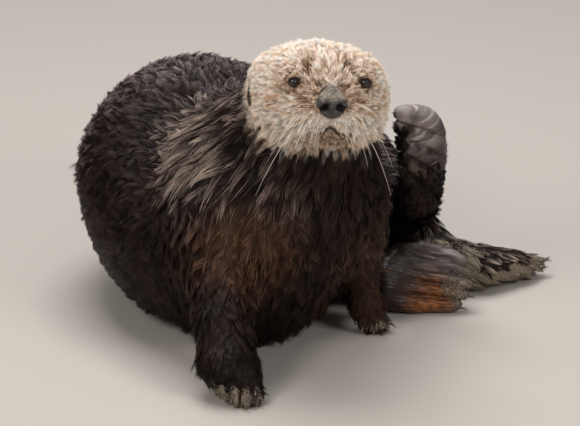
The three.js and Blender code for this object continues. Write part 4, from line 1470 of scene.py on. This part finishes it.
# %% [markdown]
# The pad's leather is a net of small pebbles, with fine sand dried on its upper half and painted shade in its
# nostrils.

# %% Nose material
nose_look, tree, shader = new_material("nose_leather")
pebbles = put(
    tree, "ShaderNodeTexVoronoi",
    {"Vector": put(tree, "ShaderNodeTexCoord").outputs["Object"], "Scale": 900}, feature="DISTANCE_TO_EDGE",
).outputs["Distance"]
mottle = step_between(tree, noise(tree, 260, 3), 0.35, 0.65)
leather = mix(tree, mottle, (0.014, 0.012, 0.0115), (0.080, 0.069, 0.062))
# painted shade: the nostrils' openings are painted near black
leather = mix(tree, mask_of(tree, "nostril"), leather, (0.004, 0.003, 0.003))
cover = times(tree, mask_of(tree, "dusty"), 0.78)
dust = use_group(tree, sand_dust, {"Cover": cover, "Grain Size": 0.0013, "Dry": 0.8})
tree.links.new(mix(tree, dust["Mask"], leather, dust["Color"]), shader.inputs["Base Color"])
relief = reckon(tree, "ADD", step_between(tree, pebbles, 0.0, 0.25), dust["Height"])
add_bump(tree, shader, relief, 0.00035, 0.7)
tree.links.new(step_between(tree, dust["Mask"], -0.75, 1.3), shader.inputs["Roughness"])
nose.data.materials.append(nose_look)
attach(nose, "root")
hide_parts("nose_pad")
print("nose material:", len(tree.nodes), "nodes")

# %% [markdown]
# ## Ears
# A sea otter's ear is a small leaf rolled lengthways, low on the side of the head, open to the front. A sheet
# is bent round an upright axis, narrow at its foot and rounded at its tip, and thickened. It stands where a
# line from the side meets the skin.

# %% Ear material
ear_look, tree, shader = new_material("ear_skin")
mottle = noise(tree, 500, 3)
rim = mask_of(tree, "rim")
inner = mix(tree, step_between(tree, mottle, 0.4, 0.65), (0.012, 0.008, 0.007), (0.085, 0.058, 0.044))
tree.links.new(mix(tree, rim, inner, (0.23, 0.165, 0.125)), shader.inputs["Base Color"])
shader.inputs["Roughness"].default_value = 0.42
add_bump(tree, shader, mottle, 0.0012, 0.6)
print("ear material:", len(tree.nodes), "nodes")

# %% Ears
EAR_ROLL = math.radians(112)  # how far each edge is rolled round from the back
EAR_HALF_HEIGHT, EAR_WIDTH = 12.0, 5.6  # mm
EAR_LEAN = 4.0  # how far the tip leans back, mm
EAR_PROUD = 1.2  # how far the ear stands off the skin, mm
EAR_THICKNESS = 1.1 * MM
EAR_ROWS, EAR_COLUMNS = 36, 40
BESIDE_HEAD = 40 * MM  # how far out the line to the skin starts


def ear_place(node, turn):
    """Where the skin is beside an ear's solid, in the head's frame."""
    start = from_head(in_head(middle(node)) + (EAR_AHEAD, turn * BESIDE_HEAD, 0))
    hit = skin_tree.ray_cast(Vector(start), Vector(-turn * head_side))[0]
    return in_head(np.array(hit))


def make_ear(name, node, turn):
    """turn is 1 for the left ear and -1 for the right one."""
    roll = np.linspace(-EAR_ROLL, EAR_ROLL, EAR_COLUMNS)[None]
    rise = np.linspace(0, 1, EAR_ROWS)[:, None]
    wavy = 1 + 0.06 * np.sin(11 * rise + 2 * roll)
    girth = EAR_WIDTH * np.sin(math.pi * (0.10 + 0.76 * rise)) ** 0.7 * wavy
    opening = np.array((0.62, 0.78 * turn, 0.0))  # the way the ear opens, in the head's frame
    across = np.array((-opening[1], opening[0], 0.0))
    back = -np.cos(roll) * girth
    wide = np.sin(roll) * girth
    lean = -EAR_LEAN * rise**2
    up = (2 * rise - 1) * EAR_HALF_HEIGHT + 0 * roll
    head = back[..., None] * opening + wide[..., None] * across
    head = head + lean[..., None] * np.array((1, 0, 0)) + up[..., None] * np.array((0.0, 0.0, 1.0))
    head = head.reshape(-1, 3) * MM + ear_place(node, turn) + np.array((0.0, EAR_PROUD * turn, 0.0)) * MM
    i, j = np.meshgrid(np.arange(EAR_ROWS - 1), np.arange(EAR_COLUMNS - 1), indexing="ij")
    a = i * EAR_COLUMNS + j
    quads = np.stack((a, a + 1, a + EAR_COLUMNS + 1, a + EAR_COLUMNS), axis=-1).reshape(-1, 4)
    ear = new_object(name, from_head(head), np.vstack((quads[:, :3], quads[:, [0, 2, 3]])))
    edge = np.maximum(np.abs(roll) / EAR_ROLL, rise)
    give_markings(ear, {"rim": ease(0.86, 0.99, edge + 0 * rise).reshape(-1)})
    thick = ear.modifiers.new("thickness", "SOLIDIFY")
    thick.thickness = EAR_THICKNESS
    thick.offset = 0
    apply_modifiers(ear)
    ear.data.shade_smooth()
    ear.data.materials.append(ear_look)
    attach(ear, "root")
    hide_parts(node)


make_ear("rolled_ear_left", "ear_left", 1)
make_ear("rolled_ear_right", "ear_right", -1)
print("ears", round(2 * EAR_HALF_HEIGHT), "mm high")

# %% [markdown]
# ## Round bristles and claws
# Whiskers and claws are both round things that taper along a curve. One helper bends a ring of corners along
# each path and closes it at both ends.

# %% Tapering rods
ODD_WAY = np.array((0.123, 0.2, 0.97))  # a direction that no rod runs along


def make_rods(name, paths, radii, sides):
    """One joined mesh of closed rods. paths is rods x rings x 3, and radii is rods x rings."""
    count, rings = radii.shape
    along = unit(np.gradient(paths, axis=1))
    side = unit(np.cross(along, ODD_WAY))
    up = np.cross(side, along)
    angle = np.linspace(0, 2 * math.pi, sides, endpoint=False)
    circle = side[:, :, None] * np.cos(angle)[:, None] + up[:, :, None] * np.sin(angle)[:, None]
    corners = paths[:, :, None] + circle * radii[:, :, None, None]
    places = np.concatenate((corners.reshape(count, -1, 3), paths[:, :1], paths[:, -1:]), axis=1)
    faces = []
    for k in range(rings - 1):
        for j in range(sides):
            a, b = k * sides + j, k * sides + (j + 1) % sides
            faces += [(a, b, b + sides), (a, b + sides, a + sides)]
    root, tip = rings * sides, rings * sides + 1
    for j in range(sides):
        last = (rings - 1) * sides
        faces += [(j, root, (j + 1) % sides), (last + j, last + (j + 1) % sides, tip)]
    faces = np.array(faces)[None] + (places.shape[1] * np.arange(count))[:, None, None]
    rods = new_object(name, places.reshape(-1, 3), faces.reshape(-1, 3))
    step = np.append(np.repeat(np.linspace(0, 1, rings), sides), (0, 1))
    give_markings(rods, {"along": np.tile(step, count)})
    return rods


# %% [markdown]
# ## Whiskers
# Thick pale bristles stand in rows on the pads beside the nose and droop to the sides, with a few above the
# eyes. Each starts where a line from the front meets the skin.

# %% Whiskers
WHISKER_ROWS = (-27, -32, -37, -42, -47)  # their heights on the pad, in mm below the eyes
WHISKERS_IN_ROW, BROW_WHISKERS = 5, 3
WHISKER_RINGS = 8
WHISKER_RADIUS, BROW_RADIUS = (0.36, 0.08), (0.22, 0.07)  # at the root and at the tip, mm
LONG_ROWS = (1, 3)  # the last whisker of these rows stands out past the cheek
BEFORE_FACE = 90  # how far ahead of the eyes the line to the skin starts, mm


def on_skin(side, up):
    """Where the line straight back through a place of the face meets the skin, in the head's frame."""
    start = from_head(np.array((BEFORE_FACE, side, up)) * MM)
    hit = skin_tree.ray_cast(Vector(start), Vector(-head_forward))[0]
    return in_head(np.array(hit))


def whisker_paths():
    """Where each whisker runs, in the head's frame, and how thick it is."""
    paths, radii = [], []
    t = np.linspace(0, 1, WHISKER_RINGS)[:, None]
    for turn in (1, -1):
        for row, up in enumerate(WHISKER_ROWS):
            for place in range(WHISKERS_IN_ROW):
                side = 12 + 5.0 * place + rng.uniform(-1.5, 1.5)
                root = on_skin(turn * side, up - 0.10 * side + rng.uniform(-1, 1))
                length = rng.uniform(0.6, 1.1) * (12 + 3.2 * place + 1.2 * row) * MM
                if place == WHISKERS_IN_ROW - 1 and row in LONG_ROWS:
                    length *= 1.9
                out = turn * (0.35 + 0.10 * place + rng.uniform(-0.15, 0.15))
                way = unit(np.array((0.60 - 0.08 * place, out, -0.55 + rng.uniform(-0.2, 0.15))))
                fall = np.array((-0.50, 0.0, -1.1 + rng.uniform(-0.25, 0.25)))
                paths.append(root + length * (way * t + fall * t**2 * 0.6))
                radii.append(np.linspace(*WHISKER_RADIUS, WHISKER_RINGS) * MM * rng.uniform(0.7, 1.1))
        for place in range(BROW_WHISKERS):
            root = on_skin(turn * (31 + 3 * place), 10 + 1.5 * place)
            way = unit(np.array((0.5, 0.12 * turn * place, 0.85)))
            paths.append(root + 13 * MM * (way * t + np.array((-0.3, 0.1 * turn, -0.2)) * t**2))
            radii.append(np.linspace(*BROW_RADIUS, WHISKER_RINGS) * MM)
    return np.array(paths), np.array(radii)


# %% Make the whiskers
paths, radii = whisker_paths()
whiskers = make_rods("whiskers", from_head(paths), radii, sides=5)
whisker_look, tree, shader = new_material("whisker")
bristle = mix(tree, mask_of(tree, "along"), (0.62, 0.55, 0.44), (0.90, 0.87, 0.80))
tree.links.new(bristle, shader.inputs["Base Color"])
shader.inputs["Roughness"].default_value = 0.35
whiskers.data.materials.append(whisker_look)
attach(whiskers, "root")
print("whiskers:", len(paths))

# %% [markdown]
# ## Claws
# Each claw is a curved horn, round at its root and drawn to a blunt point. It starts inside the toe, where
# the solid's claw does, and bends down along it. Horn grows in layers, which show as a faint mottle.

# %% Claw material
claw_look, tree, shader = new_material("horn")
layers = noise(tree, 700, 2)
horn = mix(tree, mask_of(tree, "along"), (0.028, 0.020, 0.016), (0.14, 0.105, 0.075))
horn = mix(tree, times(tree, layers, 0.6), horn, (0.10, 0.075, 0.055))
tree.links.new(horn, shader.inputs["Base Color"])
shader.inputs["Roughness"].default_value = 0.32
add_bump(tree, shader, layers, 0.0003, 0.5)
print("claw material:", len(tree.nodes), "nodes")

# %% Claws
CLAW_RADIUS = 1.55 * MM  # at the root
CLAW_BLUNTNESS = 0.12  # the tip's radius, as a share of the root's
CLAW_LENGTHENED = 1.1  # the coat and skin are drawn in, so the claw starts deeper than its solid
CLAW_HOOK = 0.22  # how far the claw bends down, as a share of its length
CLAW_LEAST_HEIGHT = 1.6 * MM  # of its middle line above the floor
CLAW_RINGS, CLAW_SIDES = 10, 10


def claw_path(node):
    """A curve from inside the toe to the tip of the claw."""
    tip, way, length = claw_line(node)
    t = np.linspace(0, 1, CLAW_RINGS)[:, None]
    root = tip - way * length * CLAW_LENGTHENED
    hook = np.array((0, 0, -1)) - way * (np.array((0, 0, -1)) @ way)
    return root + way * length * CLAW_LENGTHENED * t + hook * length * CLAW_HOOK * (t**2 - 0.75 * t)


for foot, (claws, *_) in CLAWS.items():
    nodes = [f"{claws}_{i}" for i in range(1, 6)]
    paths = np.array([claw_path(node) for node in nodes])
    paths[:, :, 2] = np.maximum(paths[:, :, 2], CLAW_LEAST_HEIGHT)
    taper = (1 - np.linspace(0, 1, CLAW_RINGS) ** 1.6 * (1 - CLAW_BLUNTNESS)) * CLAW_RADIUS
    claw_set = make_rods("claws_" + foot, paths, np.tile(taper, (len(nodes), 1)), sides=CLAW_SIDES)
    claw_set.data.materials.append(claw_look)
    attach(claw_set, "root")
    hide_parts(*nodes)
print("claws:", 5 * len(CLAWS))


# %% [markdown]
# ## The skin's material
# Between the tufts the skin shows the coat's colour at the root of a hair. The rims of the eyes, the lips and
# the beds of the nose and ears are black. The feet wear the bare foot group: wet leather shines, and skin
# that is worn dry or sandy is dull. So each point of the skin gets a few more values, which say where the
# rims and the bare feet are and where on its foot a point lies.

# %% Values for the skin
places = points_of(skin)
part = nearest_solid(places)
bare = bare_skin(places)
skin_values = {name: np.zeros(len(places)) for name in ("foot", "across", "behind_claws", "rims")}
for foot in FEET[2:]:
    mine = part == FLESH.index(foot)
    skin_values["across"][mine], skin_values["behind_claws"][mine], _ = foot_lines(places[mine], foot)
    skin_values["foot"][mine] = bare[mine]
skin_values["rims"] = bare * (part == FLESH.index("head"))
give_markings(skin, skin_values)
print("values on the skin:", ", ".join(skin_values))

# %% Skin material
skin_look, tree, shader = new_material("otter_skin")
on_foot, worn_and_lit = mask_of(tree, "foot"), mask_of(tree, "worn_and_lit")
under = use_group(tree, coat_colour, {"Along": 0.15, "Chance": noise(tree, 260, 2)})
lines = {"Across": mask_of(tree, "across"), "Along": mask_of(tree, "behind_claws")}
leather = use_group(tree, foot_skin, {**lines, "Ochre": mask_of(tree, "ochre"), "Worn And Lit": worn_and_lit})
sanded = use_group(tree, sand_dust, {"Cover": mask_of(tree, "sand"), **SAND_ON_COAT})
colour = mix(tree, mask_of(tree, "rims"), under["Color"], (0.022, 0.014, 0.012))
colour = mix(tree, step_between(tree, on_foot, 0.2, 0.7), colour, leather["Color"])
tree.links.new(mix(tree, sanded["Mask"], colour, sanded["Color"]), shader.inputs["Base Color"])
relief = reckon(tree, "ADD", times(tree, leather["Height"], on_foot), sanded["Height"])
add_bump(tree, shader, relief, 0.003, 1.0)
dull = reckon(tree, "ADD", sanded["Mask"], times(tree, worn_and_lit, 0.55))
gloss = reckon(tree, "SUBTRACT", on_foot, dull, clamp=True)
tree.links.new(reckon(tree, "MULTIPLY_ADD", gloss, -0.66, 0.92), shader.inputs["Roughness"])
shader.inputs["Specular IOR Level"].default_value = 0.30
print("skin material:", len(tree.nodes), "nodes")

# %% [markdown]
# ## Finish
# The skin rides on the body and stands for the flesh.

# %% Finish
skin.data.materials.append(skin_look)
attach(skin, "root")
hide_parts(*FLESH)
